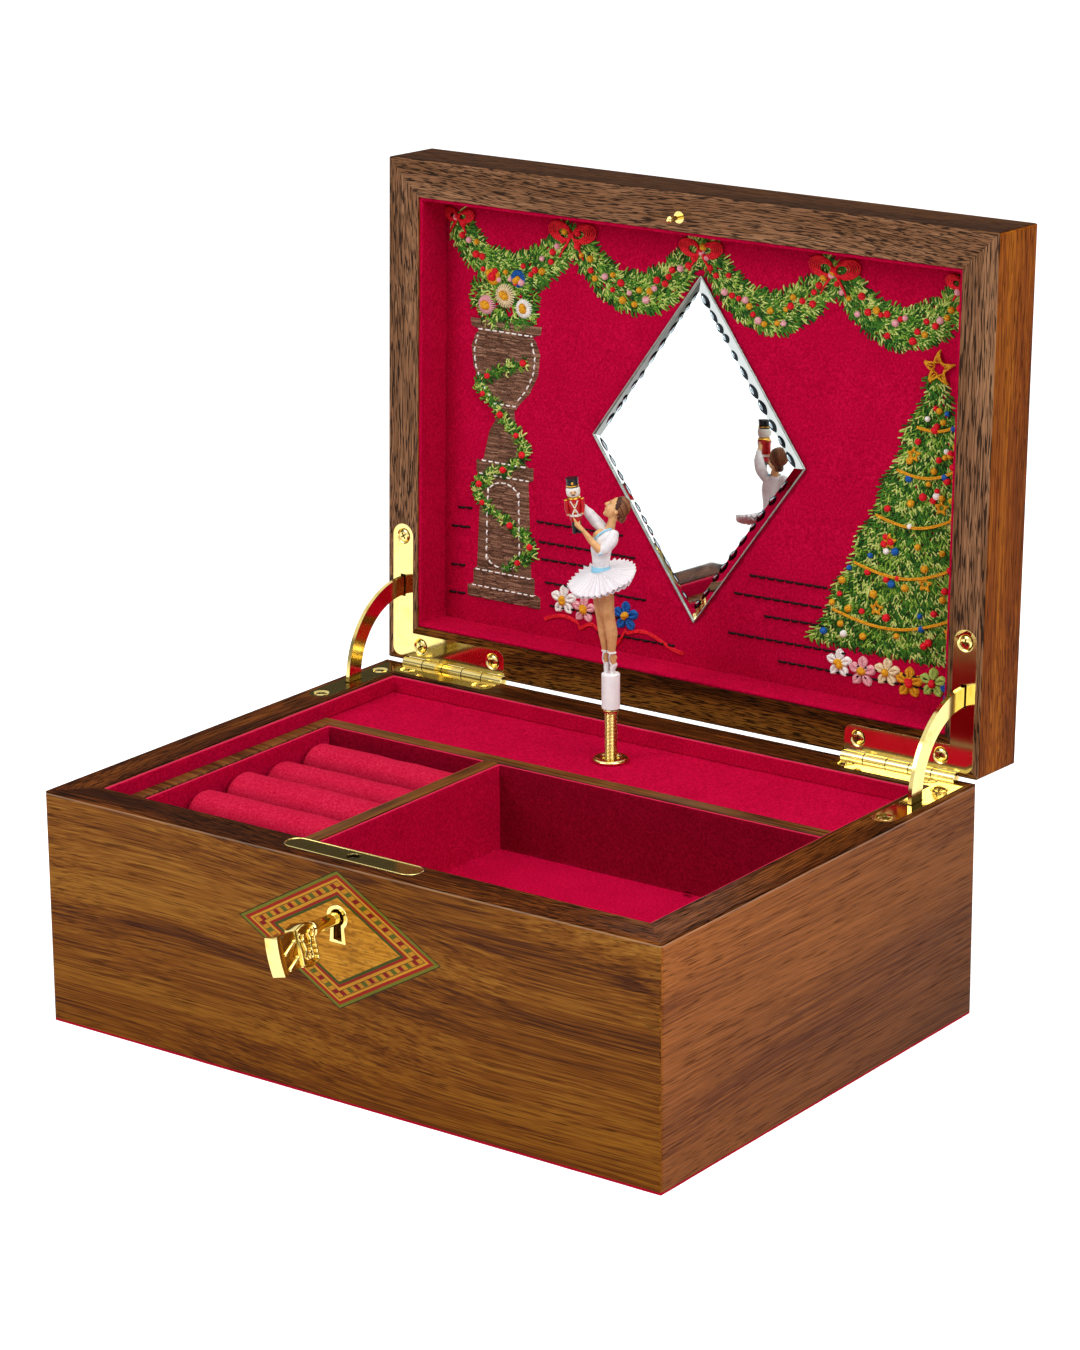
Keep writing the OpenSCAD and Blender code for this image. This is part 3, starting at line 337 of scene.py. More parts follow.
def plywood(name="plywood_raw"):
    """Birch plywood left raw under the box and in its hidden boards: pale, dry and faintly lined."""
    look = Look(name, Roughness=0.72)
    grain = look.noise((60, 1.6, 1.6), 4.0, 0.6)
    return look.done(grain.ramp((0.3, "#A98B60"), (0.7, "#CDB48A")), grain, 0.25)


def suede(name, dark, mid, light, edge=None):
    """Suede cloth brushed one way: an even nap with a fine fuzz on top and the faintest clouds, so that it
    looks soft, deep and quite without gloss. The points marked as its edge may take another colour: paler
    along the top of the linings, and painted shade low in the ring rolls' gaps and at their ends."""
    look = Look(name, Roughness=1.0, Sheen_Weight=0.12, Sheen_Roughness=0.4, Sheen_Tint=linear("#E8204C"),
                Specular_IOR_Level=0.02)
    clouds, nap, fuzz = look.noise(11), look.noise(0.8, 3.0, 0.65), look.noise(0.3, 2.0, 0.6)
    colour = (clouds * 0.14 + nap * 0.86).ramp((0.32, dark), (0.5, mid), (0.68, light))
    # The edge colour: paler along the linings' top, and painted shade low in the ring rolls' gaps and at their
    # ends
    if edge:
        colour = look.mix(look.mark("edge") * 0.6, colour, edge)
    return look.done(colour, nap * 0.6 + fuzz * 0.4, 0.5, 0.0003)


def felt(name="felt_pressed"):
    """Wool felt pressed into a sheet and glued under the box: fibres in every direction, dull and dense, that
    show as a crimson line along the foot."""
    look = Look(name, Roughness=0.95, Specular_IOR_Level=0.0)
    fibres = look.noise((0.5, 2.5, 1.0), 4.0, 0.7)
    return look.done(fibres.ramp((0.3, "#A00824"), (0.7, "#CC1438")), fibres, 0.6, 0.0005)


def metal(name, colour, dark, roughness, scratch=0.06, lines=(1, 1, 1)):
    """Polished metal: its own colour with faint rubbed patches and hairline scratches in the gloss."""
    look = Look(name, Metallic=1.0)
    patches = look.noise(6, 3.0, 0.6)
    hair = look.noise(0.5, 2.0, 0.6, look.mapped(lines))
    gloss = patches * scratch + hair * scratch + (roughness - scratch)
    return look.done(patches.ramp((0.28, dark), (0.5, colour)), hair, 0.1, 0.000012, Roughness=gloss)


def cast_metal(name="zinc_sand_cast"):
    """Zinc alloy pressed in a die: grey, slightly grainy, and duller in patches."""
    look = Look(name, Metallic=1.0)
    skin = look.noise(0.6, 4.0, 0.7)
    colour = skin.ramp((0.3, "#7C7E80"), (0.7, "#A3A5A6"))
    return look.done(colour, skin, 0.3, 0.0001, Roughness=skin.ramp((0.3, 0.42), (0.7, 0.6)))


def silvered_glass(name="mirror_silvered"):
    """Silvered glass, ground and polished: a clear mirror with a hint of green and the faintest dust."""
    look = Look(name, Metallic=1.0)
    dust = look.noise(9, 4.0, 0.7)
    return look.done(dust.ramp((0.3, "#DDE4E2"), (0.7, "#E9EFED")), Roughness=dust.ramp((0.35, 0.012),
                                                                                        (0.8, 0.05)))


def moulded(name, colour, shade, roughness=0.4, glow=0.0):
    """Painted plastic from a mould: an even colour with soft uneven paint and a little light let through."""
    look = Look(name, Specular_IOR_Level=0.25)
    if glow:
        look.set(Subsurface_Weight=glow, Subsurface_Radius=(0.0012, 0.0006, 0.0004), Subsurface_Scale=1.0)
    paint, fine = look.noise(2.2, 3.0, 0.6), look.noise(0.25)
    gloss = fine.ramp((0.3, roughness - 0.06), (0.7, roughness + 0.1))
    return look.done(paint.ramp((0.3, shade), (0.65, colour)), fine, 0.075, 0.00005, Roughness=gloss)


def net_fabric(name="tulle_stiffened"):
    """Stiffened net in layers: white with fine mesh lines, light coming through it, and painted shade in the
    valleys of its pleats.
    """
    look = Look(name, Roughness=0.8, Specular_IOR_Level=0.1, Subsurface_Weight=0.25,
                Subsurface_Radius=(0.001, 0.001, 0.001), Subsurface_Scale=1.0)
    cells = {"Vector": look.point, "Scale": 1 / 0.28}
    net = Wire(add(look.tree, "ShaderNodeTexVoronoi", cells, feature="DISTANCE_TO_EDGE").outputs[0])
    lace = net.ramp((0.02, 1.0), (0.09, 0.0))
    # Painted shade: darker pinkish grey where the pleats fold in
    base = look.mark("fold").ramp((0.0, "#BFA9B4"), (0.45, "#EDE6EA"), (1.0, "#F7F3F4"))
    return look.done(look.mix(lace * 0.3, base, "#FFFFFF"), lace, 0.3, 0.00006)


def thread(name, colour, shade):
    """Six strand embroidery thread: soft and bright, with darker lines between its twisted strands."""
    look = Look(name, Roughness=0.55, Specular_IOR_Level=0.12)
    twist = look.noise(0.45, 2.0, 0.6)
    return look.done(twist.ramp((0.4, shade), (0.58, colour)), twist, 0.5, 0.00012)


def doll_hair(name="doll_hair_brown"):
    """Moulded hair painted brown and combed: dark partings between lighter strands."""
    look = Look(name, Roughness=0.42, Specular_IOR_Level=0.2)
    tone = look.mark("strand") * 0.6 + look.noise(0.5) * 0.4
    return look.done(tone.ramp((0.25, "#3E2014"), (0.5, "#6E4128"), (0.8, "#93603C")), tone, 0.4, 0.0001)


def diamond_inlay(name="inlay_marquetry"):
    """Veneers cut and glued as a diamond: a golden field inside green, red and yellow dyed lines, a chequer
    of small blocks, and an olive edge with a thin dark seam, so that the front has its bright lozenge."""
    look = Look(name, Roughness=0.4, Specular_IOR_Level=0.1)
    x, _, z = look.point.parts()
    low, high = limits("inlay_banding")
    wobble = (look.noise(2.5) - 0.5) * 0.01
    u = x / ((high.x - low.x) / 2)
    v = (z - (high.z + low.z) / 2) / ((high.z - low.z) / 2)
    across = abs(u) + abs(v) + wobble
    field_end, blocks_start, blocks_end = 0.601, 0.748, 0.836
    grain = look.noise((14, 1, 0.6), 4.0, 0.65)
    flecks = look.noise((2.2, 1, 0.7)).ramp((0.52, 0.0), (0.64, 1.0))
    golden = grain.ramp((0.36, "#A0650F"), (0.5, "#BC7E1C"), (0.64, "#CF9430"))
    field = look.mix(flecks * 0.5, golden, "#6A3D0C")
    bands = across.ramp(
        (0.0, "#C8963F"), (field_end, "#3E4A10"), (0.645, "#8E1C12"), (0.69, "#C08A26"), (0.735, "#5A2A0C"),
        (blocks_start, "#C08A26"), (blocks_end, "#5A2A0C"), (0.848, "#C48E28"), (0.885, "#96200F"),
        (0.935, "#6E6E1C"), (0.983, "#2A2406"), blend="CONSTANT")
    count = ((abs(u) - abs(v)) * (0.5 / 0.79) + 0.5) * 11.0
    inside = count.maths("FRACT")
    odd = (count.maths("FLOOR") * 0.5).maths("FRACT") > 0.25
    block = (inside > 0.24) * (inside < 0.76)
    checks = look.mix(block, "#B9801F", look.mix(odd, "#7C1410", "#565C18"))
    colour = look.mix((across > blocks_start) * (across < blocks_end), bands, checks)
    grained = look.mix(grain * 0.5, colour, "#8A6A30", "SOFT_LIGHT")
    return look.done(look.mix(across < field_end, grained, field), grain, 0.15, 0.00008)


def plain_floor(name="floor_pale"):
    """A pale seamless floor that shows white to the camera and to shiny things, and keeps the shadow."""
    material = bpy.data.materials.new(name)
    material.use_nodes = True
    tree = material.node_tree
    tree.nodes.clear()
    out = add(tree, "ShaderNodeOutputMaterial")
    paper = lumps(tree, add(tree, "ShaderNodeTexCoord").outputs["Object"], 40.0)
    diffuse = add(tree, "ShaderNodeBsdfDiffuse", {"Color": paper.ramp((0.3, "#F1F1F1"), (0.7, "#F5F5F5"))})
    glow = add(tree, "ShaderNodeEmission", {"Color": (1, 1, 1, 1), "Strength": seen_white(tree)[0] * 0.66})
    both = add(tree, "ShaderNodeAddShader", {0: diffuse.outputs[0], 1: glow.outputs[0]})
    tree.links.new(both.outputs[0], out.inputs[0])
    return material


# ---------------------------------------------------------------- shapes, in millimetres


class Shape:
    """Collects closed forms, each with a material slot and a mark from 0 to 1 on every point."""

    def __init__(self):
        self.points, self.faces, self.slots, self.marks = [], [], [], []

    def put(self, points, faces, slot=0, mark=0.0):
        start = len(self.points)
        self.points += [Vector(p) for p in points]
        self.marks += list(mark) if isinstance(mark, (list, tuple)) else [mark] * len(points)
        self.faces += [[start + i for i in face] for face in faces]
        self.slots += [slot] * len(faces)
        return self

    def skin(self, rings, slot=0, mark=0.0, ends=True):
        """Joins rings of the same number of points, and closes both ends."""
        count = len(rings[0])
        points = [p for ring in rings for p in ring]
        faces = []
        for start in range(0, len(points) - count, count):
            for i in range(count):
                here, ahead = start + i, start + (i + 1) % count
                faces.append([here, ahead, ahead + count, here + count])
        if ends:
            faces += [list(range(count))[::-1], list(range(len(points) - count, len(points)))]
        return self.put(points, faces, slot, mark)

    def block(self, low, high, slot=0, turn=None, about=(0, 0, 0)):
        plan = ((low[0], low[1]), (high[0], low[1]), (high[0], high[1]), (low[0], high[1]))
        corners = [Vector((x, y, z)) for z in (low[2], high[2]) for x, y in plan]
        if turn is not None:
            corners = [turn @ (c - Vector(about)) + Vector(about) for c in corners]
        sides = [[3, 2, 1, 0], [4, 5, 6, 7], [0, 1, 5, 4], [1, 2, 6, 5], [2, 3, 7, 6], [3, 0, 4, 7]]
        return self.put(corners, sides, slot)

    def lathe(self, profile, centre=(0, 0, 0), turn=None, sides=48, slot=0):
        """Turns (radius, height) pairs about Z, which turn may tip over."""
        rings = []
        for r, h in profile:
            ring = [Vector((r * cos(a), r * sin(a), h)) for a in evenly(sides, tau)[:-1]]
            rings.append([(turn @ p if turn is not None else p) + Vector(centre) for p in ring])
        return self.skin(rings, slot)

    def ball(self, centre, radii, turn=None, slot=0, rings=12, sides=20, mark=0.0):
        radii = (radii,) * 3 if isinstance(radii, (int, float)) else radii
        stack = []
        for i in range(rings + 1):
            a = pi * (i + (0.02 if i == 0 else -0.02 if i == rings else 0)) / rings - pi / 2
            ring = [Vector((radii[0] * cos(a) * cos(b), radii[1] * cos(a) * sin(b), radii[2] * sin(a)))
                    for b in evenly(sides, tau)[:-1]]
            stack.append([(turn @ p if turn is not None else p) + Vector(centre) for p in ring])
        return self.skin(stack, slot, mark)

    def tube(self, path, radii, sides=12, slot=0, mark=0.0, flat=1.0, side=None):
        """A round or flattened rod along a path; radii is one radius or one for each point."""
        path = [Vector(p) for p in path]
        radii = [radii] * len(path) if isinstance(radii, (int, float)) else radii
        rings, across = [], Vector(side) if side else None
        for i, p in enumerate(path):
            ahead = (path[min(i + 1, len(path) - 1)] - path[max(i - 1, 0)]).normalized()
            if across is None:
                across = ahead.orthogonal()
            across = (across - across.dot(ahead) * ahead).normalized()
            up = ahead.cross(across)
            rings.append([p + radii[i] * (cos(a) * across + flat * sin(a) * up) for a in evenly(sides,
                                                                                                tau)[:-1]])
        return self.skin(rings, slot, mark)


def curved(points, steps=8):
    """A smooth path of Vectors through the points."""
    points = [Vector(p) for p in points]
    ends = [2 * points[0] - points[1], *points, 2 * points[-1] - points[-2]]
    path = []
    for i in range(1, len(ends) - 2):
        a, b, c, d = ends[i - 1 : i + 3]
        for t in evenly(steps)[:-1]:
            bend = (2 * a - 5 * b + 4 * c - d) * t * t + (3 * b - a - 3 * c + d) * t ** 3
            path.append(0.5 * (2 * b + (c - a) * t + bend))
    return path + [points[-1]]


def between(values, t):
    """A value at t from 0 to 1 along a list of values, eased from one to the next."""
    at = max(0.0, min(0.9999, t)) * (len(values) - 1)
    i, f = int(at), at % 1
    f = f * f * (3 - 2 * f)
    return values[i] * (1 - f) + values[i + 1] * f


def placed(name, mesh):
    """A new object of the data, in the scene."""
    made = bpy.data.objects.new(name, mesh)
    bpy.context.scene.collection.objects.link(made)
    return made


def settle_in(made, body, stands_for=()):
    """Says which body a piece rides on, and hides the CAD nodes it stands for."""
    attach(made, body)
    if stands_for:
        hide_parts(*stands_for)
    return made


def shade(mesh, smooth):
    """Smooth shading except at edges sharper than the angle."""
    mesh.polygons.foreach_set("use_smooth", [True] * len(mesh.polygons))
    mesh.set_sharp_from_angle(angle=radians(smooth))
    mesh.update()


def piece(name, shape, materials, smooth=35.0, attribute="edge"):
    """A mesh object from a Shape, in metres, with its marks as an attribute."""
    mesh = bpy.data.meshes.new(name)
    mesh.from_pydata([p * MM for p in shape.points], [], shape.faces)
    for material in materials:
        mesh.materials.append(material)
    mesh.polygons.foreach_set("material_index", shape.slots)
    if any(shape.marks):
        mesh.attributes.new(attribute, "FLOAT", "POINT").data.foreach_set("value", shape.marks)
    made = placed(name, mesh)
    work = bmesh.new()
    work.from_mesh(mesh)
    bmesh.ops.recalc_face_normals(work, faces=work.faces)
    work.to_mesh(mesh)
    work.free()
    shade(mesh, smooth)
    return made


def modify(made, kind, **settings):
    modifier = made.modifiers.new(kind.lower(), kind)
    for name, value in settings.items():
        setattr(modifier, name, value)


def settled(made, smooth=None):
    """Turns what an object's modifiers give into its own plain mesh."""
    mesh = bpy.data.meshes.new_from_object(made.evaluated_get(bpy.context.evaluated_depsgraph_get()))
    made.modifiers.clear()
    made.data = mesh
    mesh.name = made.name
    if smooth is not None:
        shade(mesh, smooth)
    return made


def weld(made, distance=0.01):
    """Joins points that lie closer together than the distance."""
    work = bmesh.new()
    work.from_mesh(made.data)
    bmesh.ops.remove_doubles(work, verts=work.verts, dist=distance * MM)
    work.to_mesh(made.data)
    work.free()
    made.data.update()


def copied(node):
    """A CAD node's mesh as bmesh, with its loose triangles joined and its flat faces whole."""
    work = bmesh.new()
    work.from_mesh(frame["nodes"][node].data)
    bmesh.ops.remove_doubles(work, verts=work.verts, dist=2e-6)
    bmesh.ops.dissolve_limit(work, angle_limit=radians(0.6), verts=work.verts, edges=work.edges)
    return work


def round_edges(work, width, steps, sharp=32.0):
    """Rounds the edges that are sharper than an angle over by width millimetres."""
    edges = [e for e in work.edges if len(e.link_faces) == 2 and e.calc_face_angle(0.0) > radians(sharp)]
    bmesh.ops.bevel(work, geom=edges, offset=width * MM, offset_type="OFFSET", segments=steps, profile=0.5,
                    affect="EDGES", clamp_overlap=True)


def in_place_of(node, work, suffix, materials, smooth):
    """An object from a node's edited bmesh."""
    mesh = bpy.data.meshes.new(node + suffix)
    work.to_mesh(mesh)
    work.free()
    for material in materials:
        mesh.materials.append(material)
    shade(mesh, smooth)
    return placed(mesh.name, mesh)


def eased(node, material, width=0.3, steps=2, sharp=32.0, cutter=None):
    """A piece in a node's place, with its sharp edges rounded over by width millimetres and the cutter
    taken out."""
    work = copied(node)
    round_edges(work, width, steps, sharp)
    made = in_place_of(node, work, "_finished", [material], 40.0)
    if cutter:
        modify(made, "BOOLEAN", operation="DIFFERENCE", solver="EXACT", object=cutter)
    modify(made, "WEIGHTED_NORMAL", weight=100, keep_sharp=True)
    return settle_in(settled(made), frame["nodes"][node]["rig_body"], [node])


def covered(node, cloth, round_over=0.4, grid=5.0, wave=0.12, top=None, seed=0.0,
            against=None):
    """Cloth glued over a node's shape: rounded edges, a slightly uneven face, and the points at the height
    top marked for the cloth's paler edge colour. Its upright faces turned to the front take the material
    against: a darker copy of the same cloth, painted shade on the walls that the light barely reaches."""
    work = copied(node)
    round_edges(work, round_over, 2)
    bmesh.ops.triangulate(work, faces=work.faces)
    for _ in range(7):
        long_edges = [e for e in work.edges if e.calc_length() > grid * MM]
        if not long_edges:
            break
        bmesh.ops.subdivide_edges(work, edges=long_edges, cuts=1)
        bmesh.ops.triangulate(work, faces=[f for f in work.faces if len(f.verts) > 3])
    work.normal_update()
    top = max(v.co.z for v in work.verts) / MM if top is None else top
    layer = work.verts.layers.float.new("edge")
    moves = []
    for v in work.verts:
        p = v.co / MM
        lump = noise.noise(p / 9.0 + Vector((seed, 0, 0))) + 0.5 * noise.noise(p / 3.5 + Vector((0, seed, 0)))
        moves.append(v.normal * (lump * wave * MM * (0.35 if abs(p.z - top) < 0.6 else 1.0)))
        v[layer] = 1.0 if abs(p.z - top) < 0.12 else 0.0
    # Faces turned to the front take the darker copy of the cloth: painted shade
    if against:
        for face in work.faces:
            face.material_index = 1 if face.normal.y < -0.8 else 0
    for v, move in zip(work.verts, moves):
        v.co += move
    made = in_place_of(node, work, "_cloth", [cloth, against] if against else [cloth], 60.0)
    settle_in(made, frame["nodes"][node]["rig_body"], [node])


def dress(material, *nodes):
    """Gives CAD nodes a material as they are."""
    for node in nodes:
        target = frame["nodes"][node]
        if not target.material_slots:
            target.data.materials.append(None)
        for place in target.material_slots:
            place.material = material
        for face in target.data.polygons:
            face.material_index = 0


def on_lid(x, v, w):
    """A point of the open lid: v up from the hinge line, w back from the rim plane."""
    c, s = cos(LID_OPEN), sin(LID_OPEN)
    return Vector((x, HINGE_Y - v * c + w * s, HINGE_Z + v * s + w * c))


# ---------------------------------------------------------------- wooden box


def build_woodwork(settings):
    """Boards of the case and the lid. Rims and rails show lighter or darker tones than the faces beside
    them."""
    tones = (settings.walnut_dark, settings.walnut_mid, settings.walnut_light)
    # The rim cap's last value is the share of painted arris highlight along the boards' top edge
    rim = (1, RIM_Z - 0.5, "#0C0502", ("#35180A", "#56290D", "#7C4418"), 0.02, 0.2)
    # Painted shade: the front board darkens towards its foot
    foot = ((0, 0, -1), -RIM_Z, -CASE_LOW.z, "#DCCB81")
    dress(walnut("walnut_front_sawn", "x", tones, 0.3, 0.3, cap=rim, stain=foot), "front_panel")
    tones = ("#4A240F", "#6E4222", "#8A5830")
    dress(walnut("walnut_rear_sawn", "x", tones, 0.5, 4.1, cap=rim), "rear_panel")
    # Painted shade: the side boards darken towards the back and the foot
    way = (0, 1 / (BACK_Y - FRONT_Y), -1 / (RIM_Z - CASE_LOW.z))
    near = FRONT_Y * way[1] + RIM_Z * way[2]
    foot = (way, near, near + 2, "#A6A4B5")
    tones = ("#6F3714", "#985622", "#AF672D")
    dress(walnut("walnut_side_stained", "y", tones, 0.35, 1.7, cap=rim, stain=foot), "right_panel",
          "left_panel")

    # Where the rails' faces start, on the Z axis of the tilted lid
    plane = -(HINGE_Y * sin(LID_OPEN) + HINGE_Z * cos(LID_OPEN) + 0.5)
    pale = (-1, plane, "#17110E", ("#6A472C", "#845C40", "#9A7150"), 0.05, 0.0)
    deep = (-1, plane, "#100703", ("#401F09", "#603410", "#80501C"), 0.03, 0.0)
    for name, along, tones, pores, shift, polish, cap, nodes in (
        ("lid_front", "x", ("#1E0D04", "#3C200C", "#583416"), 0.7, 2.2, 0.03, pale, ["lid_front_rail"]),
        ("lid_rear", "x", ("#3C2010", "#64391B", "#84542C"), 0.7, 3.4, 0.08, deep, ["lid_rear_rail"]),
        ("lid_side", "y", ("#512305", "#833F0C", "#A55D15"), 0.6, 5.3, 0.02, pale,
         ["lid_right_rail", "lid_left_rail"]),
        ("lid_top", "x", ("#4A240F", "#704220", "#8C5A30"), 0.5, 6.6, 0.05, None, ["lid_top_panel"]),
    ):
        dress(walnut(f"walnut_{name}_sawn", along, tones, pores, shift, LID_OPEN, polish, cap), *nodes)
    dress(plywood(), "base_board", "compartment_boards", "platform_board", "support_battens",
          "movement_board")
    dress(diamond_inlay(), "inlay_banding", "inlay_field")


def build_dividers(settings):
    """The dividers and the strips round the compartments, with eased edges and their own grain."""
    tones = (settings.divider_dark, settings.divider_light)
    lengthways = satinwood("divider_wood_long", "x", *tones)
    crossways = satinwood("divider_wood_cross", "y", *tones)
    for node, wood in (("long_divider", lengthways), ("cross_divider", crossways), ("tray_frame", lengthways)):
        eased(node, wood, 0.45)


def islands(node):
    """The separate forms in a node's mesh, each as its points in millimetres."""
    work = copied(node)
    left, found = set(work.verts), []
    while left:
        group, edge = set(), [left.pop()]
        while edge:
            v = edge.pop()
            group.add(v)
            for other in (link.other_vert(v) for link in v.link_edges):
                if other in left:
                    left.discard(other)
                    edge.append(other)
        found.append([v.co / MM for v in group])
    work.free()
    return found


def outline(node, axis):
    """The longest loop round the flat faces of a node that lie furthest along the axis, in steps of about
    2 mm. On a hinge these are facets on top of its knuckles, all alike, and any of them may be the one."""
    work = copied(node)
    work.normal_update()
    top = max(v.co.dot(axis) for v in work.verts if max(f.normal.dot(axis) for f in v.link_faces) > 0.999)
    flat = {f for f in work.faces
            if f.normal.dot(axis) > 0.99 and abs(f.calc_center_median().dot(axis) - top) < 0.1 * MM}
    follow = {a.vert: a.link_loop_next.vert for f in flat for a in f.loops
              if not any(g in flat and g is not f for g in a.edge.link_faces)}
    loops = []
    while follow:
        start, here = next(iter(follow.items()))
        del follow[start]
        loop = [start.co / MM]
        while here in follow:
            loop.append(here.co / MM)
            here = follow.pop(here)
        loops.append(loop)
    work.free()
    loop = max(loops, key=lambda points: sum((a - b).length for a, b in zip(points, points[1:])))
    fine = []
    for a, b in zip(loop, loop[1:] + loop[:1]):
        fine += [a.lerp(b, t) for t in evenly(max(1, round((b - a).length / 2)))[:-1]]
    return fine


def mortise_line(node, axis, body, material):
    """A dark line of painted shadow round a node's outermost flat face: at the lock plate, the shadow in its
    gap with the wood that it is let into. On a hinge it goes round a facet of one knuckle, not round the
    plate, sunk into the barrel."""
    loop = outline(node, axis)
    rings = []
    for i, p in enumerate(loop):
        before, after = (p - loop[i - 1]).normalized(), (loop[(i + 1) % len(loop)] - p).normalized()
        out = (before.cross(axis) + after.cross(axis)).normalized()
        sunk = p - axis * (0.8 if hypot(p.y - HINGE_Y, p.z - HINGE_Z) < 5.0 else 0.0)
        band = ((-0.08, 0.05), (0.45, 0.05), (0.45, -0.05), (-0.08, -0.05))
        rings.append([sunk + out * across + axis * up for across, up in band])
    settle_in(piece(node + "_joint", Shape().skin(rings + rings[:1]), [material], 30), body)


SCREW_HEAD = [(0.01, -3.0), (1.1, -3.0), (1.2, -1.45), (2.1, -0.95), (2.16, -0.5), (1.95, -0.3), (1.3, -0.15),
              (0.6, -0.08), (0.01, -0.06)]
COUNTERSINK = [(1.9, -1.4), (2.3, -0.95), (3.1, 0.02), (3.1, 0.4), (1.9, 0.4)]


def build_hinges(gilt, pressed, gap_shadow):
    """Hinge plates with countersunk holes, cross-head screws in them with painted shade in their recesses, a
    painted shadow line for each plate, and painted shadow in the seams between the knuckles.
    """
    # Dark brass for the screws' cross recesses: painted shade in the hollows
    hollow = metal("brass_recess_dulled", "#5A4416", "#33240A", 0.3, 0.05)
    lid_face = Vector((0, -sin(LID_OPEN), -cos(LID_OPEN)))
    for part, axis, body in (("base", Vector((0, 0, 1)), "case"), ("lid", lid_face, "lid")):
        heads, dishes = Shape(), Shape()
        turn = axis.to_track_quat("Z", "Y").to_matrix()
        for k, points in enumerate(islands(part + "_hinge_screws")):
            top = max(p.dot(axis) for p in points)
            face = [p for p in points if p.dot(axis) > top - 0.05]
            centre = sum(face, Vector()) / len(face)
            heads.lathe(SCREW_HEAD, centre, turn, 32)
            spin = turn @ Matrix.Rotation(0.4 + k * 1.1, 3, "Z")
            # Dark bars set in each head as its cross recess: painted shade
            for x, y in ((1.15, 0.26), (0.26, 1.15)):
                heads.block(centre + Vector((-x, -y, -0.6)), centre + Vector((x, y, -0.05)), 1, spin, centre)
            dishes.lathe(COUNTERSINK, centre, turn, 40)
        cutter = piece("cutter", dishes, [gilt])
        for side in ("_left", "_right"):
            plate = part + "_hinge" + side
            mortise_line(plate, axis, body, gap_shadow)
            eased(plate, gilt, sharp=40.0, cutter=cutter)
        bpy.data.objects.remove(cutter)
        screws = part + "_hinge_screws"
        settle_in(piece(screws + "_turned", heads, [pressed, hollow]), body, [screws])
    radius = limits("base_hinge_left")[1].z - HINGE_Z
    # Dark rings in the gaps between the knuckles: painted shadow
    seams = Shape()
    for points in islands("hinge_pins"):
        left, right = min(p.x for p in points), max(p.x for p in points)
        for x in (left + across for across in evenly(5, right - left)[1:-1]):
            seams.tube([(x - 0.16, HINGE_Y, HINGE_Z), (x + 0.16, HINGE_Y, HINGE_Z)], radius + 0.03, 40)
    settle_in(piece("knuckle_seams", seams, [gap_shadow], 40), "case")


def build_lock_plate(gilt, pressed, gap_shadow):
    """The lock's plate in the rim, with a bead that catches the light round it."""
    eased("lock_plate", gilt, steps=3)
    # A painted shadow line round the plate, in its gap with the wood
    mortise_line("lock_plate", Vector((0, 0, 1)), "case", gap_shadow)
    low, high = limits("lock_plate")
    r, mid_y, path = (high.y - low.y) / 2, (high.y + low.y) / 2, []
    for x, start in ((high.x - r, -90), (low.x + r, 90)):
        angles = [radians(start + a) for a in range(0, 181, 15)]
        path += [(x + r * cos(a), mid_y + r * sin(a), high.z - 0.08) for a in angles]
    bead = Shape().tube(path + path[:1], 0.27, 8)
    settle_in(piece("lock_plate_bead", bead, [pressed], 60), "case")


def build_metalwork(settings):
    gilt = metal("brass_gilt_polished", settings.brass, "#E0C872", 0.09, 0.02)
    pressed = metal("brass_gilt_pressed", settings.brass, "#D6BC66", 0.13, 0.03)
    gap_shadow = moulded("mortise_shadow", "#140A05", "#0A0502", 0.9)
    build_hinges(gilt, pressed, gap_shadow)
    build_lock_plate(gilt, pressed, gap_shadow)
    eased("keyhole_escutcheon", pressed, 0.55, 4)
    dress(pressed, "stay_left", "stay_right", "lock_stud")
    dress(metal("brass_pin_drawn", "#C6A95C", "#957334", 0.25, 0.05, (1, 12, 12)), "hinge_pins", "lock_bolt")
    dress(metal("steel_bright_drawn", "#B9BABC", "#8B8C90", 0.28, 0.08, (1, 9, 1)), "music_comb",
          "governor_fan")
    dress(metal("steel_zinc_plated", "#A9ABA8", "#82847F", 0.38, 0.1), "lock_case")
    dress(metal("brass_clock_turned", "#C9A25A", "#9A7636", 0.24, 0.07, (9, 1, 1)),
          "spring_barrel", "winding_key", "music_cylinder", "figure_spindle", "figure_post")
    dress(cast_metal(), "movement_frame")
    dress(silvered_glass(), "lid_mirror")


def build_linings(settings):
    cloth = suede("suede_crimson", settings.suede_dark, settings.suede, settings.suede_light, "#D8385A")
    # A darker copy of the lining for walls turned to the front: painted shade
    shaded = suede("suede_against_nap", "#680018", "#7E0420", "#92082A", "#B82444")
    covered("case_lining", cloth, seed=1.3)
    covered("deep_lining", cloth, wave=0.1, seed=2.1, against=shaded)
    covered("ring_tray_lining", cloth, seed=3.7, against=shaded)
    covered("platform_lining", cloth, 0.25, 3.5, 0.1, top=-1, seed=5.2)
    covered("lid_lining", cloth, 0.5, 4.0, 0.2, top=-1, seed=6.4)
    covered("base_felt", felt(), 0.12, 6.0, 0.06, top=-1, seed=7.9)


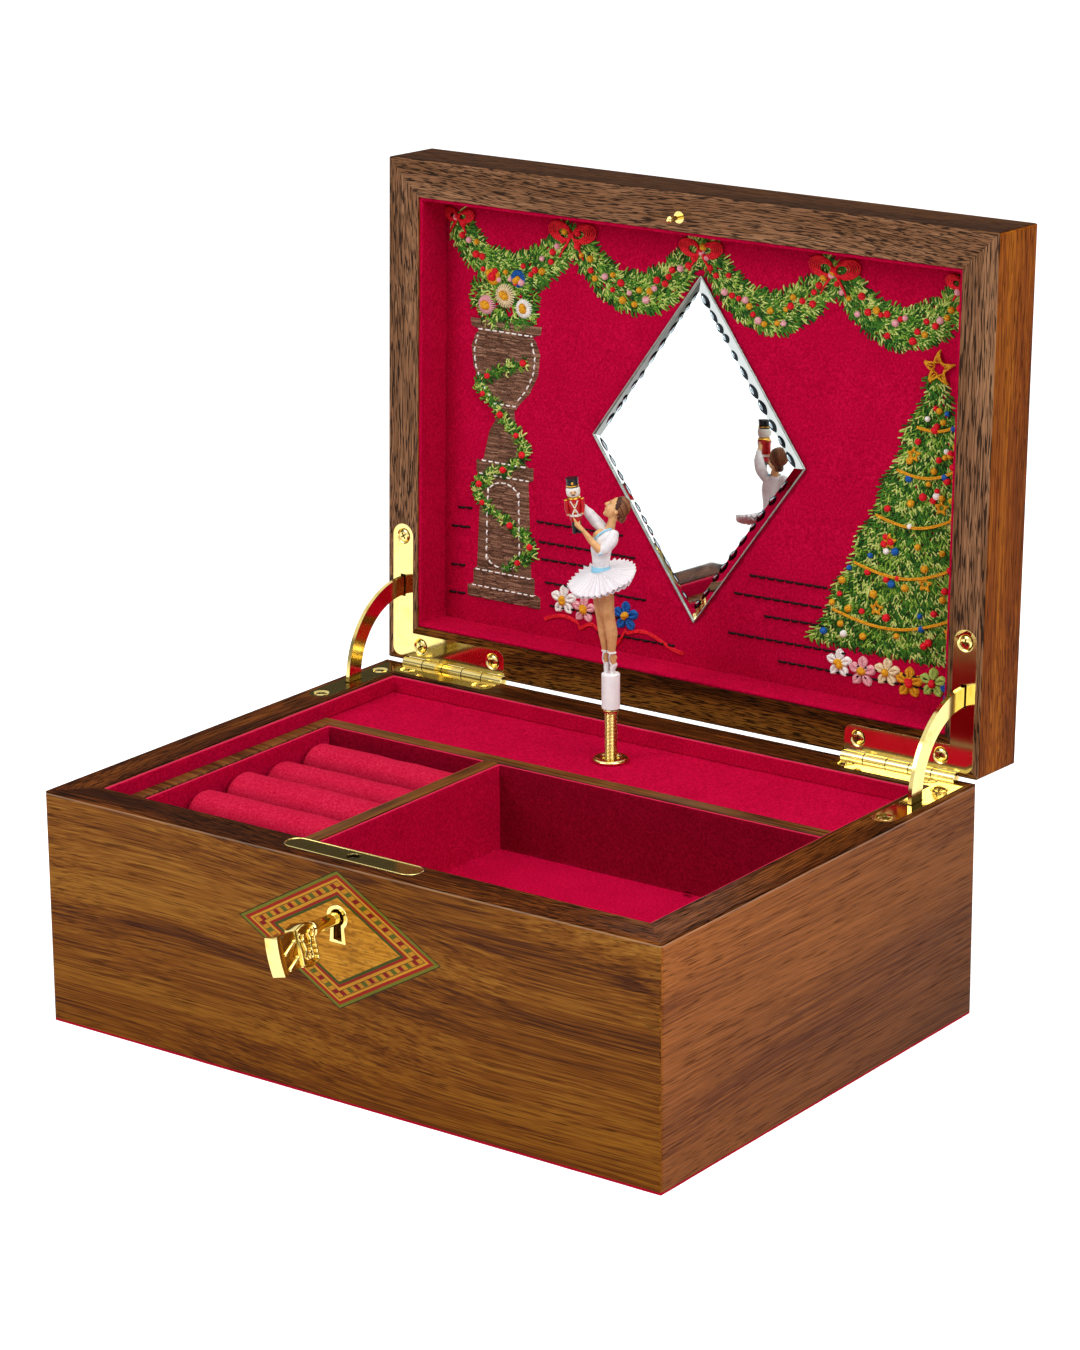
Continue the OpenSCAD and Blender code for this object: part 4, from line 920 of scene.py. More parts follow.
def build_ring_rolls(settings):
    """Five foam rolls in suede, side by side, with painted shade in the gaps between them and at their
    ends: each a little different in height and lean.
    """
    # The dark edge colour is painted shade, laid by the marks low in the gaps and at the ends
    cloth = suede("suede_roll_cover", "#AC0A2E", "#C01A3C", "#CE2C4C", "#540210")
    low, high = limits("ring_rolls")
    height, half, mid_x = high.z - low.z, (high.x - low.x) / 2, (low.x + high.x) / 2
    pitch, round_end, sides = 19.7, 3.4, 40
    spare = (high.y - low.y - 4 * pitch) / 2
    r = min(spare, height / 2)
    for k, lift in enumerate((0.0, 0.0, 1.2, -1.4, 0.2)):
        rings, marks = [], []
        for s in evenly(44):
            u = sin((s - 0.5) * pi)
            x = mid_x + u * (half + 0.25)
            end = max(0.0, (abs(u) * half - (half - round_end)) / round_end)
            grow = max(0.06, sqrt(max(0.0, 1 - end * end)) * 0.5 + 0.5 * (1 - end) if end > 0 else 1.0)
            ring = []
            for a in evenly(sides, tau)[:-1]:
                upper = sin(a) > 0
                y = (r + 0.05) * cos(a) * (0.3 + 0.7 * grow)
                z = height - r + lift * (0.6 if upper else 0.0) + (r if upper else height - r) * sin(a)
                z = height * 0.5 + (z - height * 0.5) * (0.35 + 0.65 * grow)
                p = Vector((x, low.y + spare + pitch * k + y, low.z + z))
                lump = noise.noise(p / 9 + Vector((k * 5.1, 0, 0))) * 0.25
                ring.append(p + Vector((0, cos(a), max(sin(a), 0))) * lump)
                # Marks for painted shade: low down between the rolls and towards their ends
                marks.append(max(0.02, min(1.0, max((0.93 - z / height) / 0.22, (end - 0.5) / 0.4))))
            rings.append(ring)
        shape = Shape().skin(rings, mark=marks)
        shape.points = [Vector((p.x, p.y, max(p.z, low.z))) for p in shape.points]
        made = piece(f"ring_roll_{k + 1}", shape, [cloth], 80)
        settle_in(made, "case", ["ring_rolls"] if k == 0 else ())


def build_eyelet(settings):
    """The brass grommet in the platform, rolled over at its rim, that the dancer's spring passes through."""
    gilt = metal("brass_eyelet_rolled", settings.brass, "#D8BE6C", 0.12, 0.03)
    low, high = limits("platform_eyelet")
    outer, top, thick, wall = (high.x - low.x) / 2, high.z, 1.4, 0.6
    bore = outer - 3.4
    profile = [(bore, low.z), (bore, top - 0.9), (bore + 0.35, top - 0.3), (bore + 1.0, top),
               (outer - 1.3, top),
               (outer - 0.5, top - 0.2), (outer - 0.1, top - 0.55), (outer, top - 0.95),
               (outer - 0.3, top - thick), (bore + wall, top - thick), (bore + wall, low.z)]
    rings = [[Vector((r * cos(a), FIGURE_Y + r * sin(a), h)) for a in evenly(72, tau)[:-1]]
             for r, h in profile + profile[:1]]
    made = piece("eyelet_rolled", Shape().skin(rings, ends=False), [gilt], 50)
    settle_in(made, "case", ["platform_eyelet"])


# ---------------------------------------------------------------- key and figure


def build_key(settings):
    """A cast brass key: a round stem, and a bow with a domed end cap, slanting bars and an arched head of
    scrolls."""
    gilt = metal("brass_key_cast", settings.brass, "#D8BE66", 0.08, 0.02)
    tip_y, bow_y = limits("door_key")[1].y, FRONT_Y - 12.5
    shape = Shape()
    quarter = Matrix.Rotation(pi / 2, 3, "X")
    stem = [(0.01, -tip_y), (1.5, -tip_y), (2.0, -tip_y + 0.5), (2.1, -tip_y + 1.0), (2.1, -bow_y - 1.6),
            (2.45, -bow_y - 1.2),
            (2.45, -bow_y + 0.4), (2.1, -bow_y + 0.8), (2.1, -bow_y + 2.4), (0.01, -bow_y + 2.4)]
    shape.lathe(stem, (0, 0, KEY_Z), quarter, 36)
    shape.block((-0.8, tip_y - 3.4, KEY_Z - 5.2), (0.8, tip_y - 0.3, KEY_Z - 1.2))
    bow = Shape()
    bow.block((-2.0, -17.1, -5.6), (2.0, -9.4, 5.6))
    rings = []
    for z in (rise - 6.2 for rise in evenly(14, 12.4)):
        dome = -18.5 - 0.5 * (1 - (z / 6.2) ** 2)
        rings.append([Vector(p) for p in ((-2.5, -17, z), (2.5, -17, z), (2.5, dome, z), (-2.5, dome, z))])
    bow.skin(rings)
    over = [(-9.5 + 8 * t, 5.8 + 1.1 * sin(pi * t)) for t in evenly(10)]
    under = [(-1.5 - 8 * t, -5.9 - 0.8 * sin(pi * t)) for t in evenly(10)]
    bow.skin([[Vector((x, y, z)) for y, z in over + under] for x in (-2.2, 2.2)])
    for side in (-1, 1):
        x = side * 2.1
        for a, b in (((-16.0, 0.0), (-10.9, 2.7)), ((-15.3, -4.9), (-10.7, -2.4))):
            bow.tube([(x, *a), (x, *b)], 0.5, 12)
            bow.ball((x, *a), 0.52, rings=8, sides=12)
            bow.ball((x, *b), 0.62, rings=8, sides=12)
        x = side * 2.3
        border = [(x, y * 0.9 - 0.55, z * 0.91) for y, z in over + under]
        bow.tube(border + border[:1], 0.3, 10)
        for across, lean in ((-7.3, 1), (-4.3, -1)):
            stroke = curved([(x, across + lean * 0.5, 3.6), (x + side * 0.2, across - lean * 0.2, 1.4),
                             (x + side * 0.2, across + lean * 0.3, -1.2), (x, across - lean * 0.5, -3.4)])
            bow.tube(stroke, 0.42, 10)
            for z in (3.1, -3.1):
                curl = across - lean * (0.9 if z > 0 else -0.9)
                loop = [(x + side * 0.15, curl + 0.95 * cos(a), z + 1.15 * sin(a)) for a in evenly(14, tau)]
                bow.tube(loop, 0.32, 8)
        bow.tube([(x, -7.3, 0.4), (x + side * 0.2, -5.8, -0.2), (x, -4.3, 0.3)], 0.4, 10)
        for z in (-4.6, -2.8, -1.0, 0.8, 2.6, 4.4):
            bow.ball((x + side * 0.05, -2.3, z), 0.55, rings=8, sides=12)
    tip = Matrix.Rotation(radians(-14), 3, "Y")
    bow.points = [tip @ (p - Vector((0, 0, 3.4))) + Vector((0, bow_y, KEY_Z)) for p in bow.points]
    shape.put(bow.points, bow.faces)
    made = piece("key_cast", shape, [gilt], 40)
    modify(made, "BEVEL", width=0.22 * MM, segments=2, limit_method="ANGLE", angle_limit=radians(38))
    settle_in(settled(made, 42), "key", ["door_key"])


# How far the figure is turned about the line it stands on
TURN = Matrix.Rotation(radians(216), 3, "Z")


def in_place(shape):
    """Moves forms drawn about the figure's own toes to where the figure stands."""
    shape.points = [TURN @ p + Vector((0, FIGURE_Y, TOE_Z)) for p in shape.points]
    return shape


def melted(name, shape, material, grain=0.2, rounds=5, stands_for=()):
    """Forms that overlap, run together into one smooth skin as a mould would give."""
    made = piece(name, in_place(shape), [material], 180)
    modify(made, "REMESH", mode="VOXEL", voxel_size=grain * MM, use_smooth_shade=True)
    modify(made, "SMOOTH", factor=0.5, iterations=rounds)
    settled(made, 180)
    made.data.materials.clear()
    made.data.materials.append(material)
    settle_in(made, "dancer", stands_for)


def figure_piece(name, shape, materials, smooth=60.0, stands_for=(), attribute="edge"):
    """Forms of the figure as one piece, with their own edges kept."""
    made = piece(name, in_place(shape), materials, smooth, attribute)
    return settle_in(made, "dancer", stands_for)


def growing(name, **kinds):
    """A Geometry Nodes tree that takes the named inputs and a material, and its group input's sockets."""
    tree = bpy.data.node_groups.new(name, "GeometryNodeTree")
    for socket, kind in {**kinds, "Material": "Material"}.items():
        tree.interface.new_socket(socket.replace("_", " "), in_out="INPUT", socket_type="NodeSocket" + kind)
    tree.interface.new_socket("Geometry", in_out="OUTPUT", socket_type="NodeSocketGeometry")
    return tree, add(tree, "NodeGroupInput").outputs


def give_out(tree, into, geometry):
    """Ends a Geometry Nodes tree: makes the geometry real, gives it the material and puts it out."""
    real = add(tree, "GeometryNodeRealizeInstances", {0: geometry})
    painted = add(tree, "GeometryNodeSetMaterial", {0: real.outputs[0], "Material": into["Material"]})
    add(tree, "NodeGroupOutput", {0: painted.outputs[0]})


def grown(name, mesh, tree, values):
    """An object whose mesh a Geometry Nodes tree makes, with the tree's inputs set by their identifiers."""
    made = placed(name, mesh)
    modifier = made.modifiers.new("grown", "NODES")
    modifier.node_group = tree
    for item in tree.interface.items_tree:
        if item.in_out == "INPUT" and item.name in values:
            modifier[item.identifier] = values[item.name]
    return settled(made)


def build_spring(settings):
    """The dancer's close wound spring, a tube of wire swept along a spiral by Geometry Nodes, and its
    ferrule."""
    brass = metal("brass_spring_wire", settings.brass, "#D8BE6C", 0.1, 0.02)
    low, high = limits("figure_spring")
    pitch, wire_radius, bend = 0.5, 0.24, 8
    tree, into = growing("wound_spring", Turns="Float", Radius="Float", Height="Float", Wire_Radius="Float")
    spiral = add(tree, "GeometryNodeCurveSpiral", {
        "Resolution": 26, "Rotations": into["Turns"], "Start Radius": into["Radius"],
        "End Radius": into["Radius"],
        "Height": into["Height"]})
    wire = add(tree, "GeometryNodeCurvePrimitiveCircle", {"Resolution": 8, "Radius": into["Wire Radius"]})
    swept = add(tree, "GeometryNodeCurveToMesh", {
        "Curve": spiral.outputs[0], "Profile Curve": wire.outputs[0], "Fill Caps": True})
    give_out(tree, into, swept.outputs[0])
    made = grown("spring_wound", bpy.data.meshes.new("spring_wound"), tree, {
        "Turns": (high.z - low.z) / pitch, "Radius": ((high.x - low.x) / 2 - 0.4) * MM,
        "Height": (high.z - low.z - 0.6) * MM, "Wire Radius": wire_radius * MM, "Material": brass})
    made.data.transform(Matrix.Translation(Vector((0, FIGURE_Y, low.z + 0.25)) * MM))
    shade(made.data, 80)
    start, end = ((0, FIGURE_Y * MM, (FOLD_Z + up) * MM) for up in (-bend, bend))
    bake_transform(made)
    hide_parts("figure_spring")
    profile = [(1.2, -1.3), (2.35, -1.3), (2.5, -1.1), (2.5, -0.35), (2.3, -0.1), (2.3, 0.0), (1.2, 0.0)]
    collar = Shape().lathe(profile, (0, FIGURE_Y, high.z + 0.05), sides=40)
    settle_in(piece("spring_ferrule", collar, [brass], 40), "carrier")


def rod(shape, points, radii, slot=0, sides=16, steps=6, flat=1.0, side=None):
    """A limb along a smooth path whose radius eases from point to point, with round ends."""
    path = curved(points, steps)
    widths = [between(radii, i / (len(path) - 1)) for i in range(len(path))]
    shape.tube(path, widths, sides, slot, flat=flat, side=side)
    shape.ball(points[0], radii[0], slot=slot, rings=10, sides=sides)
    shape.ball(points[-1], radii[-1], slot=slot, rings=10, sides=sides)
    return shape


def build_legs(settings):
    """The dancer's legs on the tips of the toes, with satin shoes and crossed ribbons."""
    skin = moulded("doll_skin_painted", settings.skin, settings.skin_shade, 0.38, 0.12)
    satin = moulded("doll_satin_white", "#F3F1F0", "#DCD7DA", 0.35, 0.05)
    legs = Shape()
    near = [(-0.5, 1.0, 0.9), (-1.0, 1.05, 3.0), (-0.35, 1.15, 6.6), (-0.35, 1.2, 10.3), (-0.3, 1.3, 14.1),
            (0.3, 1.4, 17.9), (1.1, 1.6, 22.3), (1.5, 1.75, 27.0), (1.9, 1.8, 31.5)]
    rod(legs, near, [0.72, 1.0, 1.08, 1.5, 1.98, 1.92, 2.35, 2.6, 2.6])
    far = [(1.5, -0.9, 0.9), (1.35, -0.95, 3.0), (1.6, -1.05, 6.6), (2.0, -1.15, 10.3), (2.4, -1.3, 14.1),
           (2.85, -1.4, 17.8), (3.2, -1.6, 22.3), (3.6, -1.75, 27.0), (3.8, -1.8, 31.5)]
    rod(legs, far, [0.7, 0.95, 1.0, 1.32, 1.7, 1.75, 2.2, 2.45, 2.5])
    legs.ball((-1.35, 1.1, 5.6), (0.75, 0.7, 1.0))
    legs.ball((0.9, -1.0, 5.6), (0.7, 0.65, 0.95))
    legs.ball((1.1, 1.5, 18.6), (1.0, 1.0, 1.3))
    legs.ball((3.6, -1.5, 18.6), (0.95, 0.95, 1.3))
    melted("legs_moulded", legs, skin, 0.2, 4, ("dancer_legs",))
    shoes = Shape()
    for foot in (near, far):
        toe, instep = Vector(foot[0]), Vector(foot[1])
        path = [toe - Vector((0, 0, 0.45)), toe + Vector((-0.15, 0, 1.0)), instep + Vector((-0.1, 0, 0.2))]
        rod(shoes, path, [0.74, 1.02, 1.12])
    melted("shoes_satin", shoes, satin, 0.18, 3)
    ribbons = Shape()
    for foot, r in ((near, 1.2), (far, 1.1)):
        toe, ankle = Vector(foot[1]), Vector(foot[2])
        hoop = [ankle + Vector((r * cos(a), r * sin(a), 0.9 + 0.08 * cos(a))) for a in evenly(24, tau)]
        ribbons.tube(hoop, 0.26, 8, flat=1.5)
        for k in (-1, 1):
            bend = [toe + Vector((0.75, k * 0.85, 0.3)), toe.lerp(ankle, 0.45) + Vector((1.12, -k * 0.1, 0)),
                    ankle + Vector((0.7, -k * 0.98, 0.2)), ankle + Vector((-0.4, -k * 1.15, 0.75))]
            ribbons.tube(curved(bend, 5), 0.2, 8, flat=1.4)
    figure_piece("shoe_ribbons", ribbons, [satin], 60)
    stand = moulded("doll_stand_white", "#FFFFFF", "#F6F6F6", 0.42, 0.05)
    eased("dancer_stand", stand, 0.4, 3)


TUTU_AT = Vector((3.1, 0, 33.4))
TUTU_TURN = Matrix.Rotation(radians(16), 3, "Y") @ Matrix.Rotation(radians(-12), 3, "X")


def build_tutu(settings):
    """Layers of stiffened net, gathered at the waist and pleated to a jagged edge."""
    net = net_fabric()
    layers = Shape()
    sides, rounds = 340, 10
    for k, (reach, drop, lift, pleats, deep) in enumerate(((11.75, 0.0, 2.3, 34, 0.62), (11.5, -0.9, 1.6, 32,
                                                                                         0.6))):
        stack = []
        for level in (0.0, -0.16):
            rings = []
            for s in evenly(rounds):
                ring = []
                for a in evenly(sides, tau)[:-1]:
                    fold = 1 - 1.7 * abs(sin(0.5 * (pleats * a + k * 1.7 + 0.5 * sin(3 * a)))) ** 0.85
                    edge = reach - 0.75 * (0.5 - 0.5 * fold) - 0.2 * sin(7 * a + k)
                    r = 2.3 + (edge - 2.3) * s
                    h = (lift * (1 - s) ** 1.7 - 1.0 * s + drop * s ** 0.7 + deep * fold * (0.12 + 0.88 * s)
                         + 0.2 * s * sin(4 * a + k * 2))
                    # The mark darkens the pleats' valleys: painted shade
                    ring.append((Vector((r * cos(a), r * sin(a), h + level)), max(0.02, 0.55 + 0.45 * fold)))
                rings.append(ring)
            stack.append(rings)
        loop = stack[0] + stack[1][::-1]
        loop.append(loop[0])
        layers.skin([[p for p, m in ring] for ring in loop], mark=[m for ring in loop for p, m in ring],
                    ends=False)
    layers.points = [TUTU_TURN @ p + TUTU_AT for p in layers.points]
    made = figure_piece("tutu_net", layers, [net], 75, ("dancer_tutu",), "fold")
    weld(made)


def oval(centre, half_x, half_y, z, count=28):
    """A level ring about the torso."""
    return [Vector((centre + half_x * cos(a), half_y * sin(a), z)) for a in evenly(count, tau)[:-1]]


# Height, middle and half sizes of the torso from the waist up
TORSO = [(31.6, 3.1, 2.7, 2.5), (34.0, 3.2, 2.95, 2.45), (36.5, 3.1, 2.75, 2.3), (39.5, 3.0, 3.0, 2.6),
         (42.2, 3.0, 3.5, 3.0),
         (44.4, 2.6, 3.6, 3.25), (46.4, 1.8, 3.2, 3.4), (48.0, 0.9, 2.4, 3.2), (49.2, 0.4, 1.7, 2.2)]


def torso_at(z):
    """The torso's middle and half sizes at a height."""
    for low, high in zip(TORSO, TORSO[1:]):
        if low[0] <= z <= high[0]:
            t = (z - low[0]) / (high[0] - low[0])
            return [low[i] + (high[i] - low[i]) * t for i in (1, 2, 3)]
    return list(TORSO[-1][1:])


def build_bodice(settings):
    """The blouse with puffed sleeves, its pale blue waistband, neckline and straps."""
    white = moulded("doll_cloth_white", "#EFECEC", "#D5CED2", 0.55, 0.06)
    blue = moulded("doll_ribbon_blue", "#9AD6EE", "#7FC2DF", 0.4)
    blouse = Shape()
    blouse.skin([oval(c, hx, hy, z) for z, c, hx, hy in TORSO])
    for y in (1.25, -1.25):
        blouse.ball((4.4, y, 43.2), (1.9, 1.55, 1.7))
    rod(blouse, [(-1.0, 2.9, 47.7), (-0.2, 3.7, 45.8), (1.6, 4.1, 43.6), (2.9, 4.1, 42.2)],
        [1.75, 2.1, 1.95, 1.45])
    rod(blouse, [(2.2, -2.7, 48.4), (4.4, -3.4, 50.4), (6.6, -3.4, 53.0), (8.5, -2.9, 55.6)],
        [1.75, 1.95, 1.75, 1.05])
    for t in evenly(4):
        puff = sin(t * 3.1)
        crease = [(-1.6 + 0.9 * t, 3.6 + 1.2 * puff, 48.4 - 0.6 * t), (0.6 + 0.6 * t, 4.2 + 1.3 * puff, 45.2),
                  (2.5 + 0.5 * t, 4.2 + 0.9 * puff, 42.6)]
        rod(blouse, crease, [0.18, 0.3, 0.2], sides=8)
    melted("bodice_blouse", blouse, white, 0.2, 4, ("dancer_bodice",))
    trim = Shape()
    faces = []
    for grow in (0.32, -0.3):
        rings = []
        for z in (34.5 + rise for rise in evenly(4, 1.9)):
            centre, half_x, half_y = torso_at(z)
            rings.append(oval(centre, half_x + grow, half_y + grow, z, 40))
        faces.append(rings)
    outer, inner = faces
    trim.skin(outer + inner[::-1] + outer[:1], ends=False)
    for s in (-1, 1):
        strap = [(-0.3, s * 1.75, 49.55), (1.5, s * 2.15, 49.1), (3.3, s * 2.05, 48.0), (4.7, s * 1.75, 46.6),
                 (5.55, s * 1.55, 45.5)]
        trim.tube(curved(strap, 5), 0.5, 10, flat=0.55, side=(0, 1, 0))
    trim.tube(curved([(5.55, 1.7, 45.5), (6.0, 0.8, 45.15), (6.1, 0, 45.05), (6.0, -0.8, 45.15),
                      (5.55, -1.7, 45.5)], 5), 0.45, 10, flat=0.6, side=(0, 0, 1))
    wrist = Vector((2.95, 4.1, 42.1))
    cuff = [wrist + Vector((1.38 * cos(a) * 0.75, 1.38 * sin(a), -1.1 * cos(a) * 0.75)) for a in evenly(20,
                                                                                                        tau)]
    trim.tube(cuff, 0.22, 8)
    made = figure_piece("bodice_ribbons", trim, [blue], 60)
    weld(made)


HEAD_AT = Vector((-1.8, 0, 55.9))
HEAD_TILT = 0.61
HEAD_TURN = Matrix(((cos(HEAD_TILT), 0, -sin(HEAD_TILT)), (0, 1, 0), (sin(HEAD_TILT), 0, cos(HEAD_TILT))))


def head_point(f, y, u):
    """A point of the tilted head: f to the front, u up."""
    return HEAD_TURN @ Vector((f, y, u)) + HEAD_AT


def build_skin(settings):
    """Neck, chest, forearms, hands and a plain doll's face, looking up."""
    skin = moulded("doll_skin_face", settings.skin, settings.skin_shade, 0.4, 0.12)
    upper = Shape()
    rod(upper, [(0.7, 0, 47.6), (0.0, 0, 49.6), (-0.5, 0, 51.4), (-1.0, 0, 53.2)], [2.1, 1.5, 1.32, 1.5])
    upper.ball((2.9, 0, 46.6), (2.85, 1.75, 2.35))
    rod(upper, [(2.7, 4.1, 42.3), (4.2, 4.0, 43.6), (6.4, 3.6, 46.2), (8.7, 3.1, 49.1), (10.0, 2.7, 50.4)],
        [1.22, 1.25, 1.05, 0.7, 0.72])
    rod(upper, [(10.0, 2.7, 50.3), (10.9, 2.4, 51.2)], [0.8, 0.85], steps=3)
    for k, (reach, rise) in enumerate(((1.3, 1.7), (1.5, 1.2), (1.4, 0.7), (1.0, 0.3))):
        rod(upper, [(10.7, 2.7 - 0.4 * k, 50.9 + rise * 0.3), (11.5, 2.5 - 0.5 * k, 51.4 + rise * 0.7),
                    (11.4 + reach * 0.5, 1.5 - 0.4 * k, 51.7 + rise)], [0.36, 0.34, 0.28], sides=10, steps=4)
    rod(upper, [(9.9, 2.2, 50.4), (10.2, 1.5, 51.8), (10.4, 1.2, 53.0)], [0.42, 0.36, 0.3], sides=10, steps=4)
    rod(upper, [(8.4, -2.9, 55.4), (9.2, -2.3, 56.7), (9.9, -1.6, 57.6)], [0.8, 0.85, 0.5], steps=4)
    for k in range(3):
        rod(upper, [(9.5, -2.2, 56.8 + 0.5 * k), (10.5, -1.9, 57.4 + 0.6 * k), (11.2, -1.2, 57.8 + 0.7 * k)],
            [0.34, 0.32, 0.26], sides=10, steps=4)
    for centre, radii in (((-0.55, 0, 0.9), (3.2, 2.95, 3.3)), ((0.6, 0, -0.6), (2.55, 2.45, 3.3)),
                          ((1.0, 0, -2.5), (1.6, 1.75, 1.5)), ((1.75, 0, -3.35), (0.85, 0.85, 0.75)),
                          ((1.6, 1.1, -1.1), (1.3, 1.1, 1.2)), ((1.6, -1.1, -1.1), (1.3, 1.1, 1.2)),
                          ((2.2, 0, 0.9), (0.75, 1.7, 0.7)),
                          ((-0.5, 2.7, -0.4), (0.65, 0.35, 0.95)), ((-0.5, -2.7, -0.4), (0.65, 0.35, 0.95)),
                          ((2.55, 0, -1.95), (0.55, 0.75, 0.5))):
        upper.ball(head_point(*centre), radii, HEAD_TURN)
    rod(upper, [head_point(2.75, 0, 0.75), head_point(3.2, 0, 0.1), head_point(3.55, 0, -0.65)],
        [0.3, 0.34, 0.42], steps=4)
    rod(upper, [(-1.0, 0, 52.6), head_point(-0.6, 0, -2.2)], [1.45, 1.7], steps=3)
    melted("head_and_arms_moulded", upper, skin, 0.16, 3, ("dancer_arms", "dancer_head"))
    paint = Shape()
    for s in (-1, 1):
        paint.ball(head_point(2.68, s * 1.02, -0.02), (0.22, 0.46, 0.2), HEAD_TURN @ Matrix.Rotation(s * 0.35,
                                                                                                     3, "Z"),
                                                                                                     0, 8, 14)
        paint.ball(head_point(2.82, s * 1.02, -0.02), (0.14, 0.17, 0.17), HEAD_TURN, 1, 8, 12)
        paint.tube([head_point(2.78, s * 0.5, 0.16), head_point(2.82, s * 1.0, 0.26),
                    head_point(2.5, s * 1.55, 0.1)], [0.05, 0.09, 0.05], 8, 1)
        paint.tube([head_point(2.86, s * 0.45, 0.85), head_point(2.82, s * 1.05, 1.08),
                    head_point(2.4, s * 1.7, 0.85)], [0.06, 0.11, 0.05], 8, 1)
    paint.ball(head_point(2.98, 0, -1.78), (0.2, 0.6, 0.13), HEAD_TURN, 2, 8, 14)
    paint.ball(head_point(2.95, 0, -2.08), (0.22, 0.5, 0.17), HEAD_TURN, 2, 8, 14)
    figure_piece("face_paint", paint, [moulded("doll_paint_white", "#F6F3EF", "#E8E2DC", 0.3),
                                       moulded("doll_paint_brown", "#3A2318", "#2A1810", 0.3),
                                       moulded("doll_paint_lips", "#C6454A", "#A83238", 0.35)], 60)


def build_hair(settings):
    """Hair combed back to a low bun, laid in separate strands over a moulded cap."""
    hair = doll_hair()
    shape = Shape()
    centre, radii = Vector((-0.85, 0, 1.15)), Vector((3.2, 3.12, 3.35))
    shape.ball(head_point(*centre), radii, HEAD_TURN, mark=0.1, rings=18, sides=28)
    dice = random.Random(11)
    bun = Vector((-0.86, 0, -0.51)).normalized()
    for i in range(64):
        theta = -2.3 + 4.6 * i / 63
        spread = 1.0 + 0.42 * abs(sin(theta)) + (0.3 if abs(theta) > 1.75 else 0.0)
        start = Vector((cos(spread), sin(spread) * sin(theta), sin(spread) * cos(theta)))
        path = []
        for t in evenly(12):
            way = start.slerp(bun, t) if start.angle(bun) < 3.1 else start
            wave = 0.02 * sin(9 * t + i)
            p = centre + Vector((way.x * radii.x, way.y * radii.y, way.z * radii.z)) * (1.03 + wave * 0.5)
            path.append(head_point(p.x, p.y, p.z))
        tone = dice.uniform(0.2, 1.0)
        shape.tube(path, [0.1] + [0.24] * 11 + [0.16], 7, mark=tone)
    knot = Vector((-3.55, 0, -1.55))
    shape.ball(head_point(*knot), (1.25, 1.45, 1.35), HEAD_TURN, mark=0.2)
    for i in range(11):
        a0 = dice.uniform(0, tau)
        tilt = Matrix.Rotation(dice.uniform(-0.7, 0.7), 3, "X") @ Matrix.Rotation(dice.uniform(-0.7, 0.7), 3,
                                                                                  "Z")
        ring = []
        for k in range(17):
            a = a0 + 5.2 * k / 16
            q = tilt @ Vector((0.35 * sin(2 * a) * 0.4, 1.5 * cos(a), 1.42 * sin(a)))
            ring.append(head_point(*(knot + q * (0.92 + 0.08 * k / 16))))
        shape.tube(ring, [0.12] + [0.26] * 15 + [0.12], 7, mark=dice.uniform(0.3, 1.0))
    figure_piece("hair_combed", shape, [hair], 70, attribute="strand")


